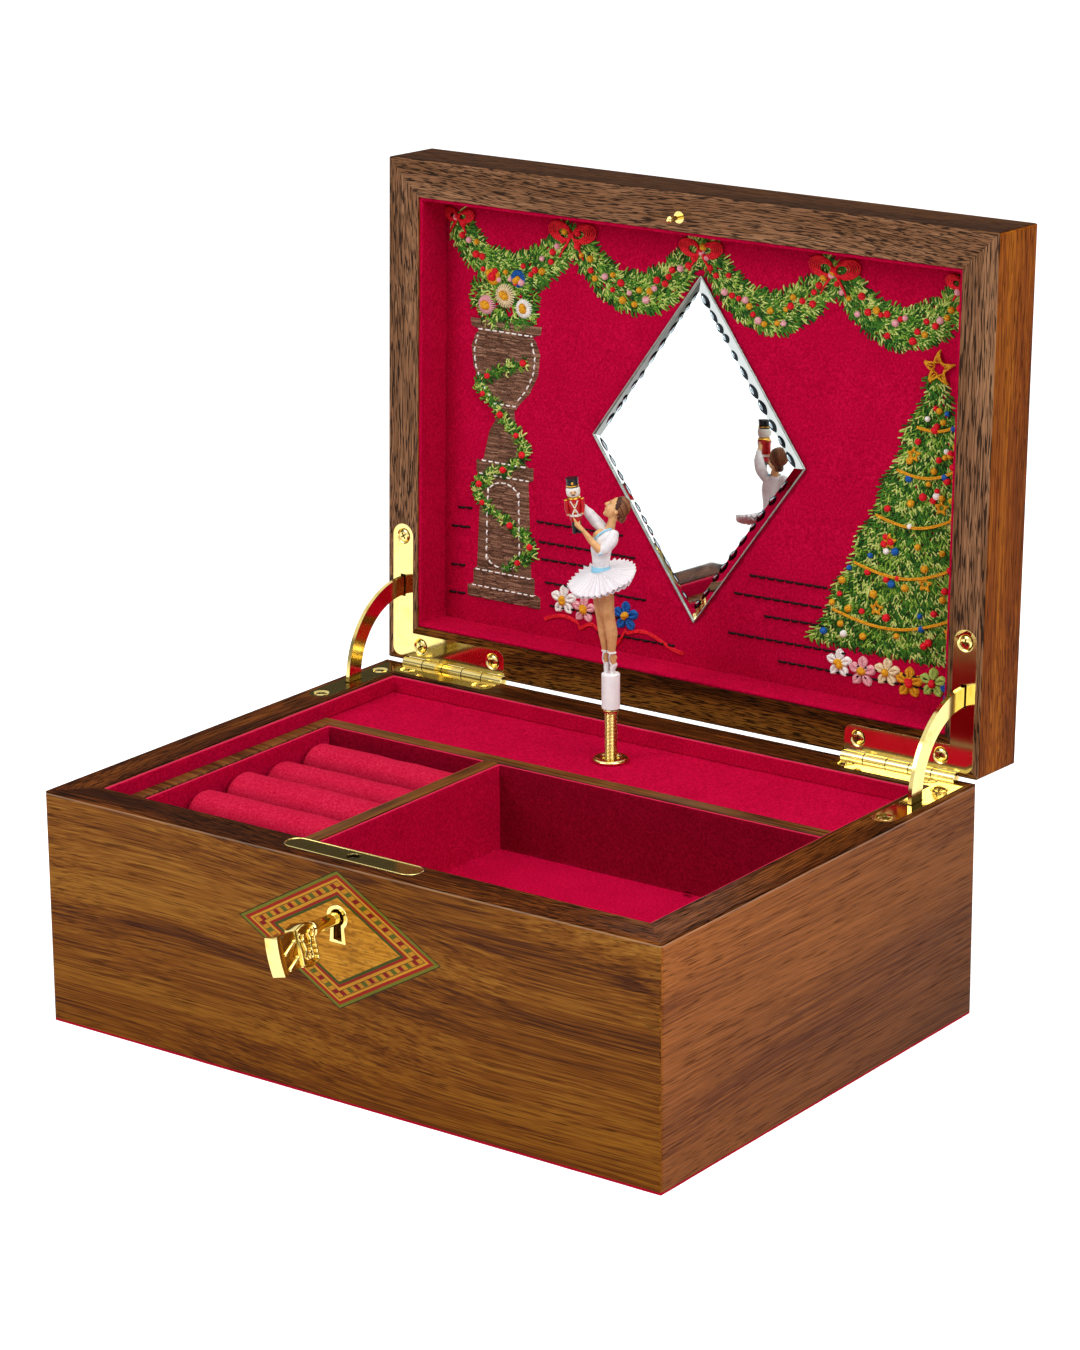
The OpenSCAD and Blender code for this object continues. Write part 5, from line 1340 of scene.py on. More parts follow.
def build_soldier(settings):
    """The little toy soldier that the dancer holds up: black hat, white wig, red coat with a white belt."""
    red = moulded("toy_paint_red", "#C8101C", "#9C0814", 0.3)
    black = moulded("toy_paint_black", "#1B1B20", "#0E0E12", 0.28)
    white = moulded("toy_paint_white", "#EDEAE2", "#D5D0C6", 0.45)
    gold = metal("toy_paint_gold", "#D9A441", "#A87A28", 0.3, 0.06)
    skin = moulded("toy_paint_skin", "#E2B48C", "#CE9B72", 0.4)
    foot, hat = Vector((10.7, 0.2, 47.9)), Vector((12.3, 0.2, 64.1))
    axis = (hat - foot).normalized()
    turn = axis.to_track_quat("Z", "Y").to_matrix()

    def at(x, y, z):
        return foot + turn @ Vector((x, y, z))

    shape = Shape()
    for s in (-1, 1):
        shape.lathe([(0.01, -0.2), (0.75, -0.1), (0.85, 0.4), (0.75, 0.9), (0.78, 4.2), (0.01, 4.4)],
                    at(0, s * 0.8, 0), turn, 20, 1)
        shape.ball(at(0.35, s * 0.8, 0.2), (1.0, 0.65, 0.45), turn, 1, 8, 14)
    shape.lathe([(0.01, 3.8), (1.75, 4.0), (2.0, 4.6), (1.95, 6.0), (2.05, 8.0), (2.3, 10.2), (2.35, 11.3),
                 (1.9, 12.1), (1.0, 12.4), (0.01, 12.4)], foot, turn, 32, 0)
    shape.lathe([(1.98, 5.7), (2.12, 5.8), (2.14, 6.4), (2.0, 6.5)], foot, turn, 32, 2)
    shape.lathe([(2.2, 11.55), (2.28, 11.7), (1.95, 12.15), (1.6, 12.3)], foot, turn, 32, 3)
    for s in (-1, 1):
        a, b = at(0.5, s * 2.5, 10.9), at(0.9, s * 2.35, 6.6)
        shape.tube([a, a.lerp(b, 0.5) + turn @ Vector((0, s * 0.25, 0)), b], [0.75, 0.68, 0.55], 14, 0)
        shape.ball(a, 0.78, slot=0, rings=8, sides=14)
        shape.ball(a + turn @ Vector((0, s * 0.1, 0.5)), (0.85, 0.7, 0.35), turn, 3, 8, 14)
        shape.ball(b, 0.58, slot=4, rings=8, sides=12)
        shape.tube([at(2.1, s * 1.2, 11.2), at(2.15, 0, 8.6), at(1.9, -s * 1.0, 6.4)], 0.24, 8, 2)
    for z in (7.4, 8.7, 10.0):
        shape.ball(at(2.25, 0, z), 0.3, slot=3, rings=6, sides=10)
    shape.lathe([(0.01, 12.0), (1.5, 12.1), (2.1, 12.7), (2.3, 13.6), (2.3, 14.6), (2.1, 15.3), (1.4, 15.7),
                 (0.01, 15.8)], foot, turn, 32, 2)
    shape.ball(at(1.15, 0, 13.9), (1.35, 1.5, 1.25), turn, 4, 10, 18)
    for s in (-1, 1):
        shape.ball(at(2.3, s * 0.6, 14.2), (0.18, 0.2, 0.22), turn, 1, 6, 10)
    shape.ball(at(2.45, 0, 13.7), (0.3, 0.25, 0.3), turn, 4, 6, 10)
    shape.ball(at(2.3, 0, 13.15), (0.22, 0.7, 0.16), turn, 1, 6, 12)
    shape.lathe([(0.01, 15.2), (2.0, 15.3), (2.05, 15.6), (1.95, 16.1), (1.98, 17.8), (2.12, 18.2),
                 (2.05, 18.5), (0.01, 18.6)], foot, turn, 32, 1)
    shape.lathe([(1.96, 15.75), (2.12, 15.8), (2.12, 16.1), (1.97, 16.15)], foot, turn, 32, 3)
    shape.ball(at(2.1, 0, 16.9), (0.2, 0.42, 0.55), turn, 3, 6, 12)
    figure_piece("toy_soldier_painted", shape, [red, black, white, gold, skin], 45,
                 ("toy_soldier",))


# ---------------------------------------------------------------- lid panel and its embroidery


# Half width, lowest and highest v of the panel's pad, and of the part of its face that crowns
PAD_X, PAD_LOW, PAD_HIGH = 106.6, 14.0, 164.0
CROWN_X, CROWN_LOW, CROWN_HIGH = 105.9, 14.6, 163.4


def panel_face(x, v):
    """Depth of the padded panel's face behind the rim plane: it crowns a little between its edges."""
    inset = min(x + CROWN_X, CROWN_X - x, v - CROWN_LOW, CROWN_HIGH - v)
    t = max(0.0, min(1.0, inset / 9.0))
    crown = 0.75 * (1 - (1 - t) ** 2)
    return PANEL_FRONT - crown - 0.10 * noise.noise(Vector((x / 17, v / 17, 0.7)))


def build_panel(settings):
    """The suede covered pad in the lid that carries the embroidery, pressed flat under the mirror."""
    cloth = suede("suede_lid_panel", settings.suede_dark, settings.suede, settings.suede_light)
    columns, rows = 106, 76
    front = []
    for v in (PAD_LOW + rise for rise in evenly(rows, PAD_HIGH - PAD_LOW)):
        for x in (across - PAD_X for across in evenly(columns, 2 * PAD_X)):
            w = panel_face(max(-CROWN_X, min(CROWN_X, x)), max(CROWN_LOW, min(CROWN_HIGH, v)))
            under_mirror = abs(x) / 44 + abs(v - PANEL_MIDDLE) / 61 <= 1
            front.append(on_lid(x, v, PANEL_FRONT - 0.02 if under_mirror else w))
    plan = ((-PAD_X, PAD_LOW), (PAD_X, PAD_LOW), (PAD_X, PAD_HIGH), (-PAD_X, PAD_HIGH))
    corners = [on_lid(x, v, PANEL_FRONT + 2.0) for x, v in plan]
    row, n = columns + 1, len(front)
    faces = [[j * row + i, j * row + i + 1, (j + 1) * row + i + 1, (j + 1) * row + i]
             for j in range(rows) for i in range(columns)]
    faces += [[n, n + 1, n + 2, n + 3], [*range(row), n + 1, n]]
    faces.append([(j + 1) * row - 1 for j in range(rows + 1)] + [n + 2, n + 1])
    faces.append([rows * row + i for i in reversed(range(row))] + [n + 3, n + 2])
    faces.append([j * row for j in reversed(range(rows + 1))] + [n, n + 3])
    made = piece("panel_padded", Shape().put(front + corners, faces), [cloth], 60)
    settle_in(made, "lid", ["embroidered_panel"])


def thread_tree():
    """Geometry Nodes that turn a mesh of separate polylines into threads, each a tube with its own ends."""
    tree, into = growing("threads", Geometry="Geometry", Thread_Radius="Float", Sides="Int")
    lines = add(tree, "GeometryNodeMeshToCurve", {0: into["Geometry"]})
    section = add(tree, "GeometryNodeCurvePrimitiveCircle", {
        "Resolution": into["Sides"], "Radius": into["Thread Radius"]})
    swept = add(tree, "GeometryNodeCurveToMesh", {
        "Curve": lines.outputs[0], "Profile Curve": section.outputs[0], "Fill Caps": True})
    soft = add(tree, "GeometryNodeSetShadeSmooth", {0: swept.outputs[0]})
    give_out(tree, into, soft.outputs[0])
    return tree


def knot_tree():
    """Geometry Nodes that put a wound knot on every point, each of a size of its own."""
    tree, into = growing("knots", Geometry="Geometry", Knot_Radius="Float", Seed="Int")
    bead = add(tree, "GeometryNodeMeshIcoSphere", {"Radius": into["Knot Radius"], "Subdivisions": 3})
    size = add(tree, "FunctionNodeRandomValue", {2: 0.8, 3: 1.2, "Seed": into["Seed"]}, data_type="FLOAT")
    set_on = add(tree, "GeometryNodeInstanceOnPoints", {
        "Points": into["Geometry"], "Instance": bead.outputs[0], "Scale": size.outputs[1]})
    soft = add(tree, "GeometryNodeSetShadeSmooth", {0: set_on.outputs[0]})
    give_out(tree, into, soft.outputs[0])
    return tree


def around(x, v, r, a):
    """The point at a distance r from (x, v), at the angle a."""
    return x + r * cos(a), v + r * sin(a)


class Needle:
    """Keeps the stitches of each colour as lines on the panel, in millimetres: x, v and height above the
    cloth."""

    def __init__(self, seed):
        self.dice = random.Random(seed)
        self.lines, self.knots = {}, {}

    def stitch(self, colour, a, b, height=0.3):
        """One straight stitch that comes up at a and goes down at b."""
        (x0, v0), (x1, v1) = a, b
        rise = ((0, -0.3), (0.18, 0.75), (0.5, 1.0), (0.82, 0.75), (1, -0.3))
        points = [(x0 + (x1 - x0) * t, v0 + (v1 - v0) * t, height * h) for t, h in rise]
        self.lines.setdefault(colour, []).append(points)

    def cord(self, colour, path, height=0.35):
        self.lines.setdefault(colour, []).append([(x, v, height) for x, v in path])

    def running(self, colour, path, long=3.0, gap=1.1, height=0.6):
        """Running stitches along a path of (x, v)."""
        points = [Vector((x, v, 0)) for x, v in path]
        at, on = 0.0, True
        marks, total = [0.0], 0.0
        for p, q in zip(points, points[1:]):
            total += (q - p).length
            marks.append(total)

        def place(s):
            for i in range(len(marks) - 1):
                if marks[i] <= s <= marks[i + 1]:
                    return points[i].lerp(points[i + 1], (s - marks[i]) / max(1e-6, marks[i + 1] - marks[i]))
            return points[-1]

        while at < total - 0.4:
            step = (long if on else gap) * self.dice.uniform(0.85, 1.15)
            if on:
                a, b = place(at), place(min(total, at + step))
                self.stitch(colour, (a.x, a.y), (b.x, b.y), height)
            at += step
            on = not on

    def knot(self, colour, x, v, height=0.35):
        self.knots.setdefault(colour, []).append((x, v, height))

    def heart(self, colour, x, v, height):
        """Five knots close together in the middle of a flower."""
        for _ in range(5):
            self.knot(colour, x + self.dice.uniform(-0.7, 0.7), v + self.dice.uniform(-0.7, 0.7), height)

    def petal(self, colour, x, v, angle, length, width, height=0.45, step=0.42):
        """A pointed oval of slanting satin stitches on both sides of its rib."""
        c, s = cos(angle), sin(angle)
        count = max(3, int(length / step))
        for i in range(count):
            t = (i + 0.5) / count
            half = width / 2 * sin(pi * t ** 0.8)
            along, ahead = length * t, length * min(1.0, t + 0.28 * half / max(0.3, length) * 2)
            for side in (-1, 1):
                a = (x + c * along, v + s * along)
                b = (x + c * ahead - s * side * half, v + s * ahead + c * side * half)
                self.stitch(colour, a, b, height)

    def filled(self, colours, rows, slope=0.0, jitter=0.5, height=0.34):
        """Rows of satin stitches: (v, x0, x1) each split once or twice at a wandering place."""
        for v, x0, x1 in rows:
            cuts = [x0]
            while x1 - cuts[-1] > 7.5:
                cuts.append(cuts[-1] + self.dice.uniform(4.0, 6.5))
            cuts.append(x1)
            for a, b in zip(cuts, cuts[1:]):
                self.stitch(self.dice.choice(colours), (a - 0.15, v),
                            (b + 0.15, v + slope + self.dice.uniform(-jitter, jitter) * 0.3), height)

    def foliage(self, x, v, angle, colours, length, height=0.5):
        """One short leaf stitch or a pair in a V, as in dense leafy fillings."""
        colour = self.dice.choice(colours)
        for turn in (-0.5, 0.5):
            a = angle + turn + self.dice.uniform(-0.25, 0.25)
            far = length * self.dice.uniform(0.7, 1.15)
            self.stitch(colour, (x, v), around(x, v, far, a), height * self.dice.uniform(0.6, 1.25))

    def star(self, colour, x, v, r, height=0.9):
        for k in range(5):
            a = pi / 2 + tau * k / 5
            tip = around(x, v, r, a)
            for side in (-0.32, -0.16, 0.0, 0.16, 0.32):
                self.stitch(colour, around(x, v, 0.34 * r, a + side * 4.0), (tip[0] + side * 0.2, tip[1]),
                            height)

    def bow(self, colour, x, v, size, height=0.7):
        """A ribbon bow: two loops, two tails and a knot, each of several threads side by side."""
        for side in (-1, 1):
            for k in range(6):
                r = size * (0.55 + 0.09 * k)
                loop = []
                for a in evenly(18, tau):
                    out = r * (1 - cos(a))
                    loop.append((x + side * (0.35 + out * 0.62), v + r * 0.42 * sin(a) + 0.25 * out * 0.4))
                self.cord(colour, loop, height * (1 - 0.07 * k))
                tail = []
                for t in evenly(8):
                    down = v - 0.3 - size * (0.9 + 0.03 * k) * t - 0.35 * sin(t * 5 + k * 0.2)
                    tail.append((x + side * (0.2 + 0.11 * k + size * 0.55 * t), down))
                self.cord(colour, tail, height * 0.8)
        for k in range(6):
            self.stitch(colour, (x - 0.9 + 0.36 * k, v - 1.1), (x - 0.9 + 0.36 * k, v + 1.1), height + 0.5)


GREENS = ("green_dark", "green_mid", "green_leaf", "green_light", "green_lime")


def in_mirror(x, v, spare=2.0):
    """Whether a point lies under the mirror or closer to it than about spare."""
    return abs(x) / (MIRROR_X + spare) + abs(v - PANEL_MIDDLE) / (MIRROR_V + spare * 1.4) < 1


def sew_swags(needle):
    """Leafy swags that hang between ribbon bows along the top of the panel."""
    for x0, x1, v0, v1, sag in ((-103, -52, 157, 157, 17), (-52, 0, 157, 159, 19), (0, 52, 159, 157, 19),
                                (52, 103, 157, 157, 17)):
        steps = 150
        for i in range(steps):
            t = (i + 0.5) / steps
            x = x0 + (x1 - x0) * t
            v = v0 + (v1 - v0) * t - sag * 4 * t * (1 - t)
            thick = 3.8 + 1.7 * sin(pi * t)
            slope = atan2((v1 - v0) - sag * 4 * (1 - 2 * t), x1 - x0)
            for _ in range(6):
                off = needle.dice.uniform(-thick, thick)
                px, pv = x - off * sin(slope), v + off * cos(slope)
                if not in_mirror(px, pv, 4) and pv < 161 and abs(px) < 103.5:
                    needle.foliage(px, pv, slope + (0.9 if off > 0 else -0.9) * abs(off) / thick, GREENS, 2.8)
            if i % 6 == 2:
                off = needle.dice.uniform(-0.7, 0.7) * thick
                px, pv = x - off * sin(slope), v + off * cos(slope)
                if not in_mirror(px, pv, 5) and pv < 160:
                    needle.knot(needle.dice.choice(("red", "red", "gold", "gold", "rose")), px, pv, 0.9)
    for x, v, size in ((-100, 157, 5), (-52, 156, 7.5), (0, 156.5, 6.5), (52, 156, 7.5), (100, 157, 5)):
        needle.bow("red", x, v, size, 1.5)


def sew_topiary(needle):
    """A clipped cone of leaves at the right with coloured berries, gold stars and looped threads."""
    apex, base, left, right, top_x = 127.0, 33.0, 46.0, 104.5, 91.0
    rows = 92
    for i in range(rows):
        v = base + (apex - base) * (i + 0.5) / rows
        t = (v - base) / (apex - base)
        scallop = 2.2 * abs(sin(t * pi * 5))
        x0 = left + (top_x - 2 - left) * t ** 0.92 + scallop
        x1 = min(right, right + 22 - (22 + right - top_x - 2) * t)
        x = x0
        while x < x1:
            px = x + needle.dice.uniform(-0.5, 0.5)
            if not in_mirror(px, v, 4) and px < 104.3:
                lean = -pi / 2 + (px - (x0 + x1) / 2) / max(4, (x1 - x0)) * 1.5
                needle.foliage(px, v, lean, GREENS, 3.0, 0.6)
            x += 1.25
    for v, sag in ((112, 2.5), (97, 3.5), (81, 4.5), (64, 5), (47, 5.5)):
        t = (v - base) / (apex - base)
        x0 = left + (top_x - 2 - left) * t + 3
        x1 = 104
        path = [(x0 + (x1 - x0) * s, v - 3 + 5 * s - sag * sin(pi * s)) for s in evenly(16)]
        needle.cord("gold", path, 1.5)
        needle.cord("gold", [(x, vv + 0.5) for x, vv in path], 1.45)
    for _ in range(74):
        t = needle.dice.random() ** 1.3 * 0.93
        v = base + 3 + (apex - base - 6) * t
        x0 = left + (top_x - 2 - left) * t + 3
        x = needle.dice.uniform(x0, 103)
        needle.knot(needle.dice.choice(("red", "red", "gold", "white", "blue", "gold")), x, v, 1.2)
    for x, v, r in ((84, 100, 2.6), (95, 84, 2.6), (76, 70, 2.8), (90, 58, 2.8), (72, 47, 2.6),
                    (100, 43, 2.6)):
        needle.star("gold", x, v, r, 1.3)
    needle.star("gold", top_x + 1, apex + 2, 6.0, 1.6)


def sew_urn(needle):
    """A brown urn on a tall pedestal at the left: satin stitch with white running lines, a vine and a
    bouquet."""
    mid = -80.0
    profile = [(24, 15.5), (28, 15.5), (28.5, 13), (34, 13), (34.5, 11.5), (68, 10), (69, 12), (73, 12),
               (73.5, 9), (84, 6.5), (88, 4), (92, 3.6), (95, 6), (99, 10),
               (106, 13.6), (113, 14.4), (117, 12.8), (119, 11), (120, 14.5), (123, 15)]
    browns = ("brown_dark", "brown", "brown", "brown_light")

    def half(v):
        for (a, x), (b, y) in zip(profile, profile[1:]):
            if a <= v <= b:
                return x + (y - x) * (v - a) / (b - a)
        return profile[-1][1]

    rows, v = [], 24.2
    while v < 122.8:
        rows.append((v, mid - half(v), mid + half(v)))
        v += 0.4
    needle.filled(browns, rows, 0.0, 0.4, 0.5)
    for level in (28.3, 34.2, 68.6, 73.3, 94, 119.3):
        needle.running("white", [(mid - half(level) + 0.5, level), (mid + half(level) - 0.5, level)], 2.0,
                       0.8, 0.95)
    for side in (-1, 1):
        needle.running("white", [(mid + side * 7.2, 38), (mid + side * 6.6, 64)], 2.2, 0.8, 0.95)
        needle.running("white", [(mid + side * (half(vv) - 1.3), vv) for vv in (96, 100, 106, 112, 117)], 2.0,
                       0.8, 0.95)
    arch = [(mid + 6.6 * cos(a), 62 + 4.5 * sin(a)) for a in evenly(10, pi)]
    needle.running("white", arch, 2.0, 0.7, 0.95)
    needle.running("white", [(mid + 7.2 * cos(a), 40 - 4 * sin(a)) for a in evenly(10, pi)], 2.0, 0.7, 0.95)
    for i in range(150):
        t = (i + 0.5) / 150
        v = 36 + 74 * t
        swing = sin(t * pi * 4.2)
        x = mid + swing * (half(v) + 1.0)
        angle = atan2(74 / 150, (half(v)) * pi * 4.2 / 150 * cos(t * pi * 4.2))
        for _ in range(4):
            needle.foliage(x + needle.dice.uniform(-1.4, 1.4), v + needle.dice.uniform(-1.2, 1.2),
                           angle + needle.dice.choice((-0.8, 0.8)), GREENS, 2.2, 1.05)
        if i % 13 == 6:
            needle.knot("red", x, v, 1.3)
    for _ in range(300):
        a, r = needle.dice.uniform(0, tau), 13.5 * sqrt(needle.dice.random())
        x, v = mid + r * cos(a), 131 + r * 0.78 * sin(a)
        if v < 144:
            needle.foliage(x, v, a, GREENS, 2.8, 0.6)
    for x, v, r, colour in ((mid, 132, 4.4, "cream"), (mid - 8, 128, 3.5, "rose"), (mid + 8, 128.5, 3.5,
                                                                                    "white"),
                                                                                    (mid - 5, 138, 3.0,
                                                                                     "gold"),
                                                                                     (mid + 5.5, 138.5, 3.2,
                                                                                      "blue")):
        for k in range(26):
            a = tau * k / 26
            needle.stitch(colour, around(x, v, 0.9, a), around(x, v, r, a), 1.25)
        needle.heart("gold" if colour != "gold" else "red", x, v, 1.5)


def sew_ground(needle):
    """Dark running stitches for the ground, a row of small blossoms and a curling red ribbon."""
    for v, x0, x1 in ((55, -100, -94), (55, -66, -30), (48, -103, -95), (48, -65, -24), (42, -64, -42),
                      (34, -103, -97), (34, -62, -20), (26, -60, -30),
                      (50, 22, 52), (43, 16, 50), (37, 28, 54), (29, 14, 60), (22.5, 34, 96), (26, 60, 100),
                      (20, -40, -8), (24, -104, -96)):
        if not in_mirror(x0, v) and not in_mirror(x1, v):
            needle.running("black", [(x0, v), (x1, v + 0.5)], 3.0, 0.7)
    for x, v, r, colour in ((58, 26, 4.2, "white"), (67, 24.5, 4.6, "rose"), (76.5, 26, 4.2, "cream"),
                            (85, 24, 4.6, "gold"), (94, 25.5, 4.4, "lime"), (101, 23.5, 3.6, "blue"),
                            (-54, 29, 4.6, "white"), (-45.5, 27, 4.0, "rose"), (-28, 27.5, 4.6, "blue"),
                            (-36.5, 26.5, 3.6, "cream")):
        for k in range(5):
            a = pi / 2 + tau * k / 5
            needle.petal(colour, *around(x, v, 0.6, a), a, r, r * 0.72, 0.8)
        needle.heart("gold" if colour not in ("gold", "lime") else "red", x, v, 1.0)
        for side in (-1, 1):
            needle.petal("green_mid", x, v - 1, -pi / 2 + side * 0.9, r * 0.9, r * 0.42, 0.5)
    for k in range(3):
        path = []
        for t in evenly(90):
            curl = 3.0 * sin(t * 22) if 0.25 < t < 0.6 else 0
            path.append((-62 + 58 * t, 20.5 + 0.4 * k + 2.4 * sin(t * 11) + curl))
        needle.cord("red", path, 0.45)


# Bright and deep colour of each thread, and the radii in millimetres of those that aren't the usual one
THREADS = {
    "green_dark": ("#24541A", "#123410"), "green_mid": ("#508A28", "#2E5E18"),
    "green_leaf": ("#487F2C", "#28561C"), "green_light": ("#98BC48", "#66902C"),
    "green_lime": ("#DCE48C", "#A8B850"), "red": ("#F02434", "#B80A1A"),
    "gold": ("#EBAA26", "#BC7A14"), "rose": ("#F0B8BC", "#D68A94"),
    "white": ("#FAF6F0", "#E2DAD2"), "cream": ("#F4E2BC", "#DCC08E"),
    "blue": ("#2468B8", "#14428A"), "brown_dark": ("#684634", "#463022"),
    "brown": ("#845C48", "#5E4030"), "brown_light": ("#A67C64", "#7A5642"),
    "black": ("#180A0C", "#0C0506"), "lime": ("#BCD46C", "#90AC48"),
}
THICK = {"red": 0.32, "black": 0.42, "brown": 0.27, "brown_dark": 0.27, "brown_light": 0.27, "white": 0.3}


def sewn(name, points, edges, tree, values):
    """Threads or knots that a tree makes on the panel, at points of x, v and height above the cloth."""
    mesh = bpy.data.meshes.new(name)
    mesh.from_pydata([on_lid(x, v, panel_face(x, v) - h) * MM for x, v, h in points], edges, [])
    settle_in(grown(name, mesh, tree, values), "lid")


def build_embroidery(settings):
    """Sews the panel's stitches, one piece for the threads of each colour and one for its knots."""
    needle = Needle(29)
    for sew in (sew_ground, sew_urn, sew_swags, sew_topiary):
        sew(needle)
    threads, knots = thread_tree(), knot_tree()
    for colour, (pale, deep) in THREADS.items():
        finish = thread("thread_" + colour, pale, deep)
        points, edges = [], []
        for line in needle.lines.get(colour, []):
            edges += [(i, i + 1) for i in range(len(points), len(points) + len(line) - 1)]
            points += line
        if points:
            values = {"Thread Radius": THICK.get(colour, 0.28) * MM, "Sides": 5, "Material": finish}
            sewn("threads_" + colour, points, edges, threads, values)
        if colour in needle.knots:
            values = {"Knot Radius": 1.12 * MM, "Seed": 7, "Material": finish}
            sewn("knots_" + colour, needle.knots[colour], [], knots, values)


def build_mirror(settings):
    """Small lens shaped cuts ground along the mirror's bevel, each a painted dark reflection with a painted
    glint on it, and the glass's edge."""
    dark = metal("mirror_cut_dark", "#2C3236", "#121416", 0.1, 0.02)
    pale = metal("mirror_cut_pale", "#B4C4CC", "#7E8C94", 0.08, 0.02)
    ground = metal("mirror_edge_ground", "#9CA29C", "#747A74", 0.35, 0.05)
    shape = Shape()
    bevel = 3.6
    small = 1 - bevel / MIRROR_X
    corners = [(0, -MIRROR_V), (MIRROR_X, 0), (0, MIRROR_V), (-MIRROR_X, 0)]
    dice = random.Random(3)
    for k in range(4):
        (x0, v0), (x1, v1) = corners[k], corners[(k + 1) % 4]
        length = hypot(x1 - x0, v1 - v0)
        ux, uv = (x1 - x0) / length, (v1 - v0) / length
        # Cuts on the two left sides get a larger painted glint
        t, bright = 0.05, k in (2, 3)
        while t < 0.94:
            long, wide = dice.uniform(1.7, 3.1), dice.uniform(0.75, 1.1) * (0.8 if bright else 1.0)
            share = 1 - (1 - small) * (0.76 + 0.14 * dice.random())
            cx, cv = (x0 + (x1 - x0) * t) * share, (v0 + (v1 - v0) * t) * share
            depth = 13.0 + (1 - (1 - share) / (1 - small)) * 1.1 - 0.1
            t += (long * 2 + dice.uniform(0.4, 2.6)) / length
            # Slot 0 is the cut's painted dark reflection, slot 1 its painted glint
            for size, aside, up, slot in ((1.0, 0.0, 0.0, 0), (0.75 if bright else 0.5, 0.3, 0.1, 1)):
                rings = []
                for r, lift in ((1.0, 0.0), (0.72, 0.1), (0.35, 0.16), (0.02, 0.18)):
                    ring = []
                    for a in evenly(16, tau)[:-1]:
                        along = long * size * (r * cos(a) + aside)
                        across = wide * (size * r * sin(a) * (1 - 0.35 * cos(a) ** 2) + aside)
                        x, v = cx + ux * along - uv * across, PANEL_MIDDLE + cv + uv * along + ux * across
                        ring.append(on_lid(x, v, depth - lift - up - 0.3 * across))
                    rings.append(ring)
                shape.skin(rings, slot=slot, ends=False)
        shape.tube([on_lid(x0, PANEL_MIDDLE + v0, 13.95), on_lid(x1, PANEL_MIDDLE + v1, 13.95)], 0.4, 8, 2)
    settle_in(piece("mirror_cuts", shape, [dark, pale, ground], 60), "lid")


# ---------------------------------------------------------------- stage


def build_stage(settings):
    """A white floor and room, three soft lamps and the camera."""
    scene = bpy.context.scene
    mesh = bpy.data.meshes.new("floor")
    mesh.from_pydata([(-4, -4, 0), (4, -4, 0), (4, 4, 0), (-4, 4, 0)], [], [(0, 1, 2, 3)])
    mesh.materials.append(plain_floor())
    placed("floor", mesh)
    build_room(scene, settings.ambient)
    for name, place, size, power in (
        ("key_light", (-0.6, -1.35, 1.1), 0.9, settings.key_power),
        ("fill_light", (1.3, -0.45, 1.25), 1.0, settings.fill_power),
        ("top_light", (0.3, -0.1, 1.9), 1.1, settings.top_power),
    ):
        lamp = bpy.data.lights.new(name, "AREA")
        lamp.size = size
        lamp.energy = power
        light = placed(name, lamp)
        light.location = place
        light.rotation_mode = "QUATERNION"
        light.rotation_quaternion = (Vector((0, 0, 0.1)) - Vector(place)).to_track_quat("-Z", "Y")
    build_camera(scene)
    scene.view_settings.view_transform = "Standard"


def build_room(scene, ambient):
    """A white room that lights the object softly. Shiny things see a dark flag in it, at the height of the
    horizon and everywhere but straight in front, so that metal has its dark parts."""
    scene.world = bpy.data.worlds.new("studio")
    scene.world.use_nodes = True
    tree = scene.world.node_tree
    tree.nodes.clear()
    seen, rays = seen_white(tree)
    _, ahead, up = Wire(add(tree, "ShaderNodeTexCoord").outputs["Generated"]).parts()
    high_up = up.ramp((0.02, 0.0), (0.1, 1.0), (0.42, 1.0), (0.55, 0.0))
    flag = high_up * (ahead + 1.0).ramp((0.12, 0.0), (0.3, 1.0))
    tint = mixed(tree, flag * rays.outputs["Is Glossy Ray"], "#FFFFFF", "#4A463C")
    sky = add(tree, "ShaderNodeBackground", {"Color": tint, "Strength": seen * (1.0 - ambient) + ambient})
    out = add(tree, "ShaderNodeOutputWorld")
    tree.links.new(sky.outputs[0], out.inputs[0])


def build_camera(scene):
    """A long lens at the upper front right, set by the angles round and above the object and a small roll."""
    camera = bpy.data.cameras.new("camera")
    camera.lens = 112.06
    camera.sensor_width = 36.0
    camera.sensor_fit = "AUTO"
    camera.clip_start, camera.clip_end = 0.05, 30.0
    scene.camera = placed("camera", camera)
    around, above, roll = 0.6351, 0.2994, -0.0073
    back = Vector((sin(around) * cos(above), -cos(around) * cos(above), sin(above)))
    right = (-back).cross(Vector((0, 0, 1))).normalized()
    up = right.cross(-back)
    right, up = cos(roll) * right + sin(roll) * up, -sin(roll) * right + cos(roll) * up
    place = Matrix((right, up, back)).transposed().to_4x4()
    place.translation = (0.76325, -1.01932, 0.50925)
    scene.camera.matrix_world = place


# ---------------------------------------------------------------- add-on


def colour_of(value):
    """A property's linear colour as the sRGB hex that the materials take."""
    parts = [12.92 * c if c <= 0.0031308 else 1.055 * c ** (1 / 2.4) - 0.055 for c in value[:3]]
    return "#" + "".join(f"{max(0, min(255, round(c * 255))):02X}" for c in parts)


def colour_property(name, description, hex_colour):
    return bpy.props.FloatVectorProperty(name=name, description=description, subtype="COLOR", size=4, min=0.0,
                                         max=1.0, default=linear(hex_colour))


def power_property(name, description, watts):
    return bpy.props.FloatProperty(name=name, description=description, subtype="POWER", min=0.0,
                                   default=watts)


